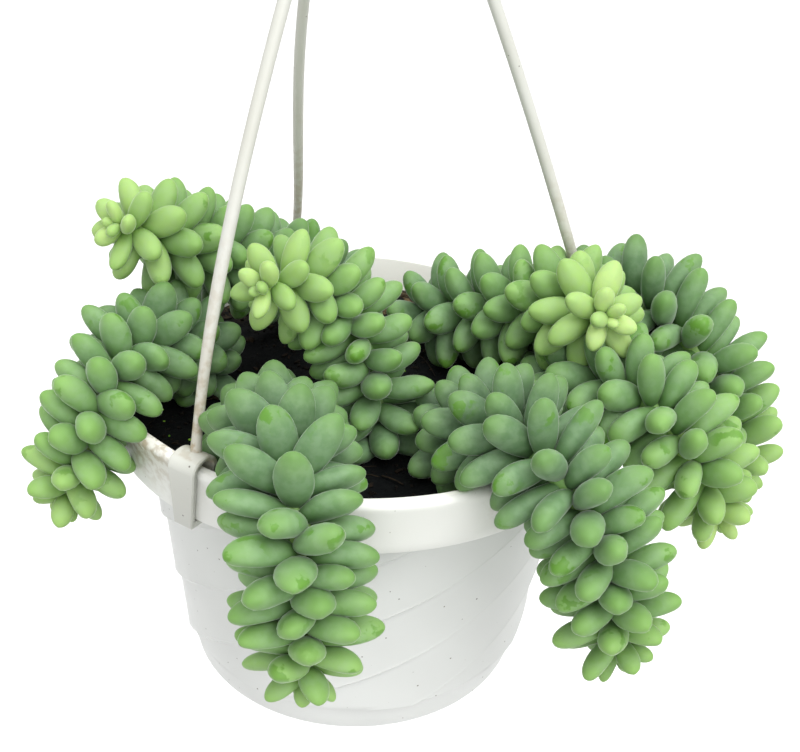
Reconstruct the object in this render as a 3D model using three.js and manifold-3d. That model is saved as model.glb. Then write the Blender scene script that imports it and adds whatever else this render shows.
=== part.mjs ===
// A white hanging pot with a clip-on hanger, potting soil and trailing burro's tail stems.
// Millimetres, +Z up. The origin is the middle of the pot's underside, and -Y is the front.

import * as THREE from "three";
import { mergeVertices } from "three/addons/utils/BufferGeometryUtils.js";
import Module from "manifold-3d";

const wasm = await Module();
wasm.setup();

// Driving dimensions.
const GAP = 0.3; // clearance between two pieces that touch on the real thing

// The pot: a tapered body with a swirl relief, under a broad collar.
const RIM_RADIUS = 70;
const RIM_ROUNDING = 1.1;
const POT_HEIGHT = 90;
const WALL = 2;
const COLLAR_WALL = 3;
const FLOOR = 2.5;
const COLLAR_UNDERSIDE = 74;
const COLLAR_FOOT_RADIUS = 67.3;
const BODY_FOOT = 9;
const BODY_FOOT_RADIUS = 50.8;
const BODY_TOP_RADIUS = 60;
const FOOT_RADIUS = 48.4;
const SWIRL_STARTS = 8;
const SWIRL_PITCH = 20.7; // height from one crease to the next
const SWIRL_DEPTH = 1.2;
const SWIRL_PHASE = 3.5; // degrees
const SWIRL_ROWS = 9;
const SEGMENTS_PER_SWIRL = 5;
const CREASE_SHARE = 0.05; // share of a swirl's turn over which its step falls back
const DRAIN_HOLES = 6;
const DRAIN_HOLE_RADIUS = 3.5;
const DRAIN_CIRCLE_RADIUS = 34;

// The soil, a little below the rim, and how far the stems reach into it.
const SOIL_LEVEL = 81;
const SOIL_RELIEF = 1.6;
const SOIL_SHRINKAGE = 0.35; // the soil has drawn back this far from the pot's wall
const SOIL_RINGS = 4;
const SOIL_SEGMENTS = 24;
const STEM_DEPTH = 8;

// The hanger: three arms in one moulding, from clips on the collar to a hub with a hook.
const CLIP_AZIMUTHS = [110, 235, 4]; // degrees from +X
const CLIP_WIDTH = 9;
const CLIP_TOE_WIDTH = 7;
const CLIP_SKEWS = [0, 3, 0]; // how far each strap's toe stands to one side, clockwise from above
const CLIP_THICKNESS = 1.6;
const CLIP_ARCH_RISE = 0.4; // the arch's centre above the rim
const CLIP_TOE_RADIUS = 63.6;
const CLIP_INNER_LEG = 6.5;
const ARM_RADIUS = 1.95;
const ARM_FOOT = [66.4, 93.5]; // distance from the pot's axis, and height
const ARM_BOW_LOW = [57, 128];
const ARM_BOW_HIGH = [41, 172];
const ARM_HEAD = [4.5, 243];
// How far each arm's two bow points stand off the ones above: outwards, and clockwise from above.
const ARM_BENDS = [
  { low: [0, 4], high: [0, -14] },
  { low: [0, 3], high: [0, 2] },
  { low: [-3.5, 0], high: [-2.7, 0] },
];
const HUB_RADIUS = 7;
const HUB_BASE = 238;
const HUB_HEIGHT = 11;
const HOOK_RADIUS = 12; // of the wire's centre line
const HOOK_WIRE_RADIUS = 2.3;
const HOOK_CENTRE = 276;

// The leafy stems, each from its foot in the soil to its growing tip.
const STEM_RADIUS = 2.7;
const STEM_TIP_SETBACK = 2; // the bare stem ends this far short of the tip
const LEAF_LENGTH = 17.5; // from the stem's axis
const LEAF_WIDTH = 8.2;
const LEAF_THICKNESS = 7;
const LEAF_SIDES = 4;
const LEAF_TURN = 137.5; // degrees from one leaf to the next round the stem
const LEAF_SPACING_TIP = 0.8;
const LEAF_SPACING = 2.4;
const LEAF_BARE_FOOT = 11; // no leaf grows nearer to the stem's lower end than this
const YOUNG_LENGTH = 0.3; // share of a full leaf's size, at the very tip
const STEMS = [
  {
    name: "stem_front_left",
    seed: 11,
    leafScale: 1,
    path: [
      [-24, -26, 73], [-22, -37, 86], [-19, -54, 97], [-16, -70, 103], [-14, -82, 102],
      [-12, -88, 95], [-12, -89, 84], [-11, -88, 72], [-11, -88, 60], [-11, -87, 52],
    ],
  },
  {
    name: "stem_front_right",
    seed: 23,
    leafScale: 1,
    path: [
      [25, -26, 73], [26, -33, 84], [30, -43, 94], [36, -58, 101], [43, -70, 101],
      [50, -74, 93], [56, -74, 80], [60, -73, 66], [63, -71, 53], [65, -70, 44],
    ],
  },
  {
    name: "stem_left",
    seed: 37,
    leafScale: 0.92,
    path: [
      [-44, 6, 73], [-45, 1, 86], [-48, -7, 97], [-54, -18, 103], [-59, -31, 103],
      [-63, -38, 97], [-66, -41, 87], [-69, -42, 76], [-72, -42, 66],
    ],
  },
  {
    name: "stem_upper_left",
    seed: 41,
    leafScale: 0.92,
    path: [
      [-8, 46, 73], [-10, 41, 86], [-15, 34, 97], [-23, 28, 103], [-32, 21, 109],
      [-42, 13, 115], [-51, 3, 122], [-57, -5, 128], [-62, -11, 132],
    ],
  },
  {
    name: "stem_centre",
    seed: 53,
    leafScale: 0.88,
    path: [
      [6, -26, 73], [7, -28, 85], [6, -28, 96], [3, -24, 107], [-3, -21, 115],
      [-11, -22, 121], [-19, -28, 125], [-24, -35, 127],
    ],
  },
  {
    name: "stem_upper_right",
    seed: 67,
    leafScale: 1,
    path: [
      [14, 30, 73], [16, 27, 85], [22, 22, 94], [33, 14, 99], [46, 4, 105],
      [56, -6, 110], [62, -16, 114], [66, -24, 116],
    ],
  },
  {
    name: "stem_far_right",
    seed: 71,
    leafScale: 1.1,
    path: [
      [44, 24, 73], [48, 22, 84], [57, 20, 95], [67, 13, 102], [77, 7, 105],
      [85, 1, 102], [91, -5, 96], [96, -7, 86], [100, -8, 76], [105, -9, 65], [109, -9, 55],
    ],
  },
  {
    name: "stem_right",
    seed: 83,
    leafScale: 1,
    path: [
      [50, -3, 73], [53, -8, 85], [58, -18, 96], [64, -31, 102], [70, -39, 100],
      [76, -42, 92], [82, -41, 82], [87, -39, 72], [90, -39, 64],
    ],
  },
];

// Materials.
const MATERIALS = {
  pot: new THREE.MeshStandardMaterial({ color: 0xe9ebe8, roughness: 0.42, metalness: 0 }),
  hanger: new THREE.MeshStandardMaterial({ color: 0xe6e5dd, roughness: 0.45, metalness: 0 }),
  soil: new THREE.MeshStandardMaterial({ color: 0x2b2119, roughness: 0.98, metalness: 0 }),
  stem: new THREE.MeshStandardMaterial({ color: 0x74a868, roughness: 0.55, metalness: 0 }),
};

const UP = new THREE.Vector3(0, 0, 1);
const radians = THREE.MathUtils.degToRad;
const lerp = THREE.MathUtils.lerp;

/** A closed three.js geometry as a solid that can be joined and cut. */
function solidOf(geometry) {
  const bare = geometry.clone();
  bare.deleteAttribute("normal");
  bare.deleteAttribute("uv");
  const merged = mergeVertices(bare, 1e-4);
  return new wasm.Manifold(
    new wasm.Mesh({
      numProp: 3,
      vertProperties: new Float32Array(merged.attributes.position.array),
      triVerts: new Uint32Array(merged.index.array),
    }),
  );
}

/** A solid as a three.js geometry. */
function geometryOf(solid) {
  const { vertProperties, triVerts } = solid.getMesh();
  const geometry = new THREE.BufferGeometry();
  geometry.setAttribute("position", new THREE.BufferAttribute(vertProperties, 3));
  geometry.setIndex(new THREE.BufferAttribute(triVerts, 1));
  geometry.computeVertexNormals();
  return geometry;
}

/** A lathe turned about +Z from [radius, height] points that run up the outside. */
function turned(profile, segments) {
  const points = profile.map(([radius, height]) => new THREE.Vector2(radius, height));
  return new THREE.LatheGeometry(points, segments).rotateX(Math.PI / 2);
}

/** The point at a distance from the pot's axis, an azimuth in degrees and a height. */
function polar(radius, azimuth, height) {
  const angle = radians(azimuth);
  return new THREE.Vector3(radius * Math.cos(angle), radius * Math.sin(angle), height);
}

/** A round tube along a curve. */
function tube(curve, radius, sides, steps) {
  const section = new THREE.Shape();
  for (let side = 0; side < sides; side++) {
    const angle = (2 * Math.PI * side) / sides;
    const x = radius * Math.cos(angle);
    const y = radius * Math.sin(angle);
    if (side === 0) section.moveTo(x, y);
    else section.lineTo(x, y);
  }
  section.closePath();
  return new THREE.ExtrudeGeometry(section, { steps, extrudePath: curve, curveSegments: 1 });
}

/** Draws that are the same on every run, between 0 and 1. */
function seededDraws(seed) {
  let state = seed >>> 0;
  return () => {
    state = (state + 0x6d2b79f5) >>> 0;
    let mixed = Math.imul(state ^ (state >>> 15), state | 1);
    mixed ^= mixed + Math.imul(mixed ^ (mixed >>> 7), mixed | 61);
    return ((mixed ^ (mixed >>> 14)) >>> 0) / 4294967296;
  };
}

/** The pot body's mean radius at a height between its foot and its collar. */
function bodyRadius(height) {
  const share = (height - BODY_FOOT) / (COLLAR_UNDERSIDE - BODY_FOOT);
  return lerp(BODY_FOOT_RADIUS, BODY_TOP_RADIUS, share);
}

/** The collar's outer radius at a height. */
function collarRadius(height) {
  const share = (height - COLLAR_UNDERSIDE) / (POT_HEIGHT - COLLAR_UNDERSIDE);
  return lerp(COLLAR_FOOT_RADIUS, RIM_RADIUS, share);
}

/** The pot's outside: a lathe whose body is twisted into overlapping swirls. */
function potOutside() {
  const foot = [
    [0, 0],
    [FOOT_RADIUS - 0.8, 0],
    [FOOT_RADIUS, 0.8],
    [FOOT_RADIUS + 1.4, BODY_FOOT - 0.8],
  ];
  const body = [];
  for (let row = 0; row <= SWIRL_ROWS; row++) {
    const height = lerp(BODY_FOOT, COLLAR_UNDERSIDE, row / SWIRL_ROWS);
    body.push([bodyRadius(height), height]);
  }
  const collar = [
    [COLLAR_FOOT_RADIUS - RIM_ROUNDING, COLLAR_UNDERSIDE],
    [collarRadius(COLLAR_UNDERSIDE + RIM_ROUNDING), COLLAR_UNDERSIDE + RIM_ROUNDING],
    [collarRadius(POT_HEIGHT - RIM_ROUNDING), POT_HEIGHT - RIM_ROUNDING],
    [RIM_RADIUS - RIM_ROUNDING, POT_HEIGHT],
    [0, POT_HEIGHT],
  ];
  const profile = [...foot, ...body, ...collar];
  const segments = SWIRL_STARTS * SEGMENTS_PER_SWIRL;
  const geometry = turned(profile, segments);
  const position = geometry.attributes.position;
  for (let index = 0; index < position.count; index++) {
    const row = index % profile.length;
    const [radius, height] = profile[row];
    const segment = Math.floor(index / profile.length) % segments;
    const start = Math.floor(segment / SEGMENTS_PER_SWIRL);
    const step = (segment % SEGMENTS_PER_SWIRL) / (SEGMENTS_PER_SWIRL - 1);
    const share = step * (1 - CREASE_SHARE);
    const twist = THREE.MathUtils.clamp(height, BODY_FOOT, COLLAR_UNDERSIDE) / SWIRL_PITCH;
    const azimuth = ((start + share + twist) * 360) / SWIRL_STARTS + SWIRL_PHASE;
    const swirled = row >= foot.length && row < foot.length + body.length;
    const relief = swirled ? SWIRL_DEPTH * (share - 0.5) : 0;
    const moved = polar(radius + relief, azimuth, height);
    position.setXYZ(index, moved.x, moved.y, moved.z);
  }
  return solidOf(geometry);
}

/** The pot's wall, hollow and open at the top, with drain holes round its floor. */
function makePot() {
  const cavity = turned(
    [
      [0, FLOOR],
      [FOOT_RADIUS - WALL - 1, FLOOR],
      [FOOT_RADIUS - WALL + 1, BODY_FOOT - 1],
      [bodyRadius(BODY_FOOT) - WALL, BODY_FOOT + 1],
      [BODY_TOP_RADIUS - WALL, COLLAR_UNDERSIDE],
      [BODY_TOP_RADIUS - WALL, COLLAR_UNDERSIDE + WALL],
      [collarRadius(COLLAR_UNDERSIDE + WALL) - COLLAR_WALL, COLLAR_UNDERSIDE + WALL + 1],
      [RIM_RADIUS - COLLAR_WALL, POT_HEIGHT - 1],
      [RIM_RADIUS - COLLAR_WALL + 0.5, POT_HEIGHT + 1],
      [0, POT_HEIGHT + 1],
    ],
    SWIRL_STARTS * SEGMENTS_PER_SWIRL,
  );
  let pot = potOutside().subtract(solidOf(cavity));
  for (let hole = 0; hole < DRAIN_HOLES; hole++) {
    const centre = polar(DRAIN_CIRCLE_RADIUS, (360 * hole) / DRAIN_HOLES, FLOOR / 2);
    const cutter = new THREE.CylinderGeometry(
      DRAIN_HOLE_RADIUS, DRAIN_HOLE_RADIUS, 3 * FLOOR, 10,
    ).rotateX(Math.PI / 2).translate(centre.x, centre.y, centre.z);
    pot = pot.subtract(solidOf(cutter));
  }
  return pot;
}

/** The clip over the rim, drawn in the upright plane through the pot's axis. */
function clipOutline() {
  const legIn = (height) => collarRadius(height) + GAP;
  const toeTop = COLLAR_UNDERSIDE - GAP;
  const archHeight = POT_HEIGHT + CLIP_ARCH_RISE;
  const archOuter = legIn(POT_HEIGHT) + CLIP_THICKNESS;
  const archCentre = RIM_RADIUS - 2.4;
  const outerRadius = archOuter - archCentre;
  const innerRadius = outerRadius - CLIP_THICKNESS;
  const legFoot = archHeight - CLIP_INNER_LEG;
  const outline = new THREE.Shape();
  outline.moveTo(CLIP_TOE_RADIUS, toeTop);
  outline.lineTo(CLIP_TOE_RADIUS, toeTop - CLIP_THICKNESS);
  outline.lineTo(legIn(COLLAR_UNDERSIDE) + CLIP_THICKNESS, toeTop - CLIP_THICKNESS);
  outline.lineTo(archOuter, archHeight);
  outline.absarc(archCentre, archHeight, outerRadius, 0, Math.PI, false);
  outline.lineTo(archCentre - outerRadius, legFoot);
  outline.lineTo(archCentre - innerRadius, legFoot);
  outline.absarc(archCentre, archHeight, innerRadius, Math.PI, 0, true);
  outline.lineTo(legIn(POT_HEIGHT), POT_HEIGHT);
  outline.lineTo(legIn(COLLAR_UNDERSIDE), COLLAR_UNDERSIDE);
  outline.lineTo(legIn(COLLAR_UNDERSIDE), toeTop);
  outline.closePath();
  return outline;
}

/** A clip at an azimuth, with its toe hooked under the collar and its strap narrowed and skewed. */
function makeClip(azimuth, skew) {
  const outward = polar(1, azimuth, 0);
  const sideways = new THREE.Vector3().crossVectors(outward, UP);
  const clip = new THREE.ExtrudeGeometry(clipOutline(), {
    depth: CLIP_WIDTH,
    bevelEnabled: false,
    curveSegments: 5,
  });
  clip.translate(0, 0, -CLIP_WIDTH / 2);
  const position = clip.attributes.position;
  for (let index = 0; index < position.count; index++) {
    const drop = POT_HEIGHT - position.getY(index);
    const share = THREE.MathUtils.clamp(drop / (POT_HEIGHT - COLLAR_UNDERSIDE), 0, 1);
    const width = lerp(1, CLIP_TOE_WIDTH / CLIP_WIDTH, share);
    position.setZ(index, position.getZ(index) * width + skew * share);
  }
  clip.applyMatrix4(new THREE.Matrix4().makeBasis(outward, UP, sideways));
  return solidOf(clip);
}

/** An arm from its clip to the hub, bowed outwards and bent as given. */
function makeArm(azimuth, bend) {
  const sideways = polar(1, azimuth - 90, 0);
  const at = ([radius, height], [outwards, clockwise]) =>
    polar(radius + outwards, azimuth, height).addScaledVector(sideways, clockwise);
  const curve = new THREE.CubicBezierCurve3(
    at(ARM_FOOT, [0, 0]),
    at(ARM_BOW_LOW, bend.low),
    at(ARM_BOW_HIGH, bend.high),
    at(ARM_HEAD, [0, 0]),
  );
  return solidOf(tube(curve, ARM_RADIUS, 8, 12));
}

/** The hub's disc with the neck of the hook. */
function makeHub() {
  const top = HUB_BASE + HUB_HEIGHT;
  return solidOf(
    turned(
      [
        [0, HUB_BASE],
        [HUB_RADIUS - 1.5, HUB_BASE],
        [HUB_RADIUS, HUB_BASE + 1.5],
        [HUB_RADIUS, top - 3],
        [HUB_RADIUS - 2, top - 1],
        [HOOK_WIRE_RADIUS + 0.6, top],
        [HOOK_WIRE_RADIUS + 0.3, top + 3],
        [0, top + 3],
      ],
      12,
    ),
  );
}

/** The open hook: a shank up from the hub, and most of a ring round the rail it hangs on. */
function makeHook() {
  const points = [
    new THREE.Vector3(0, 0, HUB_BASE + HUB_HEIGHT - 2),
    new THREE.Vector3(0, 0, HUB_BASE + HUB_HEIGHT + 6),
  ];
  for (let angle = 232; angle >= -30; angle -= 22) {
    const turn = radians(angle);
    points.push(
      new THREE.Vector3(
        HOOK_RADIUS * Math.cos(turn), 0, HOOK_CENTRE + HOOK_RADIUS * Math.sin(turn),
      ),
    );
  }
  const curve = new THREE.CatmullRomCurve3(points, false, "centripetal");
  return solidOf(tube(curve, HOOK_WIRE_RADIUS, 8, 21));
}

/** The whole hanger as one moulding. */
function makeHanger() {
  const pieces = [makeHub(), makeHook()];
  CLIP_AZIMUTHS.forEach((azimuth, index) => {
    pieces.push(makeClip(azimuth, CLIP_SKEWS[index]));
    pieces.push(makeArm(azimuth, ARM_BENDS[index]));
  });
  return wasm.Manifold.union(pieces);
}

/** The height of the soil's surface, gently heaped. */
function soilHeight(x, y) {
  const waves =
    Math.sin(0.11 * x + 1.3) * Math.cos(0.09 * y - 0.4) +
    0.5 * Math.sin(0.23 * x - 0.19 * y) +
    0.5 * Math.cos(0.17 * x + 0.21 * y + 0.8);
  return SOIL_LEVEL + SOIL_RELIEF * (waves / 2 + y / 60);
}

/** The soil, which fills the pot from wall to wall and has a plain hole for each stem. */
function makeSoil(stemHoles) {
  const clear = WALL + GAP + SOIL_SHRINKAGE;
  const collarClear = COLLAR_WALL + GAP + SOIL_SHRINKAGE;
  const reach = collarRadius(SOIL_LEVEL - 2 * SOIL_RELIEF) - collarClear;
  const surface = [];
  for (let ring = 0; ring <= SOIL_RINGS; ring++) {
    surface.push([reach * (1 - ring / SOIL_RINGS), SOIL_LEVEL]);
  }
  const profile = [
    [0, FLOOR + GAP],
    [FOOT_RADIUS - clear - 1, FLOOR + GAP],
    [FOOT_RADIUS - clear + 1, BODY_FOOT - 1],
    [bodyRadius(BODY_FOOT) - clear, BODY_FOOT + 1],
    [BODY_TOP_RADIUS - clear, COLLAR_UNDERSIDE],
    [BODY_TOP_RADIUS - clear, COLLAR_UNDERSIDE + WALL + GAP],
    [collarRadius(COLLAR_UNDERSIDE + WALL) - collarClear, COLLAR_UNDERSIDE + WALL + 1 + GAP],
    ...surface,
  ];
  const geometry = turned(profile, SOIL_SEGMENTS);
  const position = geometry.attributes.position;
  for (let index = 0; index < position.count; index++) {
    if (position.getZ(index) < SOIL_LEVEL - 0.1) continue;
    position.setZ(index, soilHeight(position.getX(index), position.getY(index)));
  }
  return solidOf(geometry).subtract(wasm.Manifold.union(stemHoles));
}

/** A stem's centre line. */
function stemCurve(stem) {
  const points = stem.path.map((point) => new THREE.Vector3(...point));
  return new THREE.CatmullRomCurve3(points, false, "centripetal");
}

/** The bare stem, or the room round it where radius is larger. */
function makeCore(stem, radius, startShare) {
  const curve = stemCurve(stem);
  const length = curve.getLength();
  const endShare = 1 - STEM_TIP_SETBACK / length;
  const steps = Math.ceil((length * (endShare - startShare)) / 9);
  const points = [];
  for (let step = 0; step <= steps; step++) {
    points.push(curve.getPointAt(lerp(startShare, endShare, step / steps)));
  }
  const route = new THREE.CatmullRomCurve3(points, false, "centripetal");
  return solidOf(tube(route, radius, 5, steps));
}

/** The hole that a stem stands in. */
function makeStemHole(stem) {
  const curve = stemCurve(stem);
  const foot = curve.getPointAt(0);
  const towards = curve.getTangentAt(0);
  const route = new THREE.LineCurve3(
    foot.clone().addScaledVector(towards, -GAP),
    foot.clone().addScaledVector(towards, 2.5 * STEM_DEPTH),
  );
  return solidOf(tube(route, STEM_RADIUS + GAP + 0.4, 8, 1));
}

/** One leaf at unit size: its root at the origin, its tip at +Z, one unit wide and thick. */
function unitLeaf() {
  return turned([[0, 0], [0.42, 0.36], [0.5, 0.7], [0, 1]], LEAF_SIDES);
}

/** How far a leaf leans away from the growing direction, in degrees, by its distance from the tip. */
function leafLean(distance) {
  if (distance < 6) return lerp(10, 45, distance / 6);
  if (distance < 16) return lerp(45, 78, (distance - 6) / 10);
  return lerp(78, 98, Math.min(1, (distance - 16) / 30));
}

/** A leaf's size as a share of a full leaf's, by its distance from the tip. */
function leafGrowth(distance) {
  return 1 - (1 - YOUNG_LENGTH) * Math.exp(-distance / 7);
}

/** One leaf on its stem, leaning and bent as asked. */
function placedLeaf(root, along, outward, lean, length, leafScale) {
  const direction = along.clone().multiplyScalar(Math.cos(radians(lean)));
  direction.addScaledVector(outward, Math.sin(radians(lean)));
  const across = new THREE.Vector3().crossVectors(along, outward).normalize();
  const thick = new THREE.Vector3().crossVectors(direction, across);
  const grown = (length / LEAF_LENGTH) ** 0.8;
  const matrix = new THREE.Matrix4().makeBasis(
    across.multiplyScalar(LEAF_WIDTH * leafScale * grown),
    thick.multiplyScalar(LEAF_THICKNESS * leafScale * grown),
    direction.multiplyScalar(length * leafScale),
  );
  matrix.setPosition(root);
  return solidOf(unitLeaf().applyMatrix4(matrix));
}

/** True where a leaf keeps clear of every neighbour. */
function isClear(leaf, neighbours) {
  return neighbours.every((neighbour) => leaf.minGap(neighbour, GAP) >= GAP);
}

/** A leaf that keeps clear of its neighbours by bending or shortening, or null where none fits. */
function fittedLeaf(root, along, outward, lean, length, leafScale, neighbours) {
  for (const shorter of [1, 0.85, 0.7]) {
    for (const bend of [0, -14, 14, -28, 28, -42]) {
      const leaf = placedLeaf(root, along, outward, lean + bend, length * shorter, leafScale);
      if (isClear(leaf, neighbours)) return leaf;
    }
  }
  return null;
}

/** A leafy stem: its bare core with plump leaves in a spiral, thickest at the growing tip. */
function makeStem(stem, neighbours) {
  const draw = seededDraws(stem.seed);
  const curve = stemCurve(stem);
  const length = curve.getLength();
  const frames = 60;
  const { normals, binormals } = curve.computeFrenetFrames(frames, false);
  const pieces = [makeCore(stem, STEM_RADIUS, 0)];
  let turn = 360 * draw();
  for (
    let distance = 0.5;
    distance < length - LEAF_BARE_FOOT;
    distance += lerp(LEAF_SPACING_TIP, LEAF_SPACING, Math.min(1, distance / 14))
  ) {
    const share = 1 - Math.max(distance, STEM_TIP_SETBACK + 0.5) / length;
    const frame = Math.round(share * frames);
    const angle = radians(turn + 12 * (draw() - 0.5));
    const outward = normals[frame].clone().multiplyScalar(Math.cos(angle));
    outward.addScaledVector(binormals[frame], Math.sin(angle));
    const along = curve.getTangentAt(share);
    outward.addScaledVector(along, -outward.dot(along)).normalize();
    const lean = leafLean(distance) + 14 * (draw() - 0.5);
    const leafLength = LEAF_LENGTH * leafGrowth(distance) * (0.92 + 0.16 * draw());
    const root = curve.getPointAt(share);
    const leaf = fittedLeaf(root, along, outward, lean, leafLength, stem.leafScale, neighbours);
    if (leaf) pieces.push(leaf);
    turn += LEAF_TURN;
  }
  return wasm.Manifold.union(pieces);
}

const part = new THREE.Group();

/** Adds a solid to the part as a named mesh. */
function add(name, solid, material) {
  const mesh = new THREE.Mesh(geometryOf(solid), material);
  mesh.name = name;
  part.add(mesh);
}

const pot = makePot();
const hanger = makeHanger();
const soil = makeSoil(STEMS.map(makeStemHole));
add("pot", pot, MATERIALS.pot);
add("hanger", hanger, MATERIALS.hanger);
add("soil", soil, MATERIALS.soil);

const grown = [];
STEMS.forEach((stem, index) => {
  const barer = STEMS.slice(index + 1).map((later) => makeCore(later, STEM_RADIUS + GAP, 0));
  const leafy = makeStem(stem, [pot, hanger, soil, ...grown, ...barer]);
  grown.push(leafy);
  add(stem.name, leafy, MATERIALS.stem.clone());
});

export default part;
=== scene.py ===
"""The looks of a hanging pot of burro's tail: a white pot with a swirl relief, its hanger, soil and stems.

Sizes are in millimetres until a mesh is made, +Z is up and the origin is the middle of the pot's underside.
"""

import logging
import math
from collections.abc import Callable, Sequence
from dataclasses import dataclass, field
from enum import Enum

import bmesh
import bpy
import numpy as np
from mathutils import Matrix, Vector


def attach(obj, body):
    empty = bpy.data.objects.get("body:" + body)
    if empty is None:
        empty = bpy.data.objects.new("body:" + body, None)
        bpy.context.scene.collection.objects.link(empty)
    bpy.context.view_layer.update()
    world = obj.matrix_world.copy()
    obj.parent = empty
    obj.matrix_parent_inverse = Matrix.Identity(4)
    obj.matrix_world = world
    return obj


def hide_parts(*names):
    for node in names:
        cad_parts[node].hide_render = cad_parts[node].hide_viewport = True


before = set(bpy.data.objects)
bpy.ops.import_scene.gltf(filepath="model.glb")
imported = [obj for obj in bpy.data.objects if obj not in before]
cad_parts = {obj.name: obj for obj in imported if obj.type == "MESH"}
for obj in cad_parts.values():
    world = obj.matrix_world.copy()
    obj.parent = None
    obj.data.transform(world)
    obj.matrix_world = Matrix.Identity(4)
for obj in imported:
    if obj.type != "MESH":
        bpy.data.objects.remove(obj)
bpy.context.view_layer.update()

MM = 0.001
TINY = 1e-6
UP = np.array([0.0, 0.0, 1.0])
log = logging.getLogger("burros_tail")

Point = tuple[float, float, float]
RadiusRule = Callable[[np.ndarray], np.ndarray]


def srgb(red: float, green: float, blue: float) -> tuple[float, float, float, float]:
    """Turns a screen colour into a linear one.

    Args:
        red: the red part, from 0 to 255.
        green: the green part.
        blue: the blue part.

    Returns:
        The opaque linear colour.
    """
    parts = [c / 255 for c in (red, green, blue)]
    linear = [c / 12.92 if c <= 0.04045 else ((c + 0.055) / 1.055) ** 2.4 for c in parts]
    return (*linear, 1.0)


def smooth_step(low: float, high: float, value: np.ndarray) -> np.ndarray:
    """A soft step from 0 at low to 1 at high."""
    share = np.clip((value - low) / (high - low), 0.0, 1.0)
    return share * share * (3 - 2 * share)


def unit(vectors: np.ndarray) -> np.ndarray:
    """Vectors drawn to a length of one."""
    return vectors / np.maximum(np.linalg.norm(vectors, axis=-1, keepdims=True), TINY)


def turned_round(count: int) -> np.ndarray:
    """Angles spread evenly round a circle."""
    return np.arange(count) * 2 * np.pi / count


def ring(radius: np.ndarray | float, angle: np.ndarray, height: np.ndarray | float) -> np.ndarray:
    """Points round the pot's axis."""
    return np.stack([radius * np.cos(angle), radius * np.sin(angle), np.broadcast_to(height, angle.shape)], 1)


def spokes(degrees: float) -> tuple[np.ndarray, np.ndarray]:
    """The directions outward and clockwise at an azimuth."""
    cosine, sine = math.cos(math.radians(degrees)), math.sin(math.radians(degrees))
    return np.array([cosine, sine, 0]), np.array([sine, -cosine, 0])


# ---------------------------------------------------------------- shader graph


class Value:
    """A node's output that takes part in expressions, each of which adds its Math node."""

    def __init__(self, graph: "Graph", socket: bpy.types.NodeSocket) -> None:
        """Wraps a socket of the graph."""
        self.graph = graph
        self.socket = socket

    def _math(self, operation: str, first: "Value | float", second: "Value | float") -> "Value":
        """A Math node of two operands."""
        return self.graph.add("ShaderNodeMath", {"operation": operation}, {0: first, 1: second})

    def __add__(self, other: "Value | float") -> "Value":
        """The sum."""
        return self._math("ADD", self, other)

    def __radd__(self, other: float) -> "Value":
        """The sum."""
        return self._math("ADD", other, self)

    def __sub__(self, other: "Value | float") -> "Value":
        """The difference."""
        return self._math("SUBTRACT", self, other)

    def __rsub__(self, other: float) -> "Value":
        """The difference from a number."""
        return self._math("SUBTRACT", other, self)

    def __mul__(self, other: "Value | float") -> "Value":
        """The product."""
        return self._math("MULTIPLY", self, other)

    def __rmul__(self, other: float) -> "Value":
        """The product."""
        return self._math("MULTIPLY", other, self)

    def step(self, low: float, high: float) -> "Value":
        """Makes a soft step, which falls where low is above high.

        Args:
            low: where the step is 0.
            high: where the step is 1.

        Returns:
            The step.
        """
        limits = {1: min(low, high), 2: max(low, high)}
        ends = {3: 0.0, 4: 1.0} if low < high else {3: 1.0, 4: 0.0}
        settings = {"interpolation_type": "SMOOTHSTEP"}
        return self.graph.add("ShaderNodeMapRange", settings, {0: self, **limits, **ends})


Share = Value | float
Paint = Value | tuple


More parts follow.
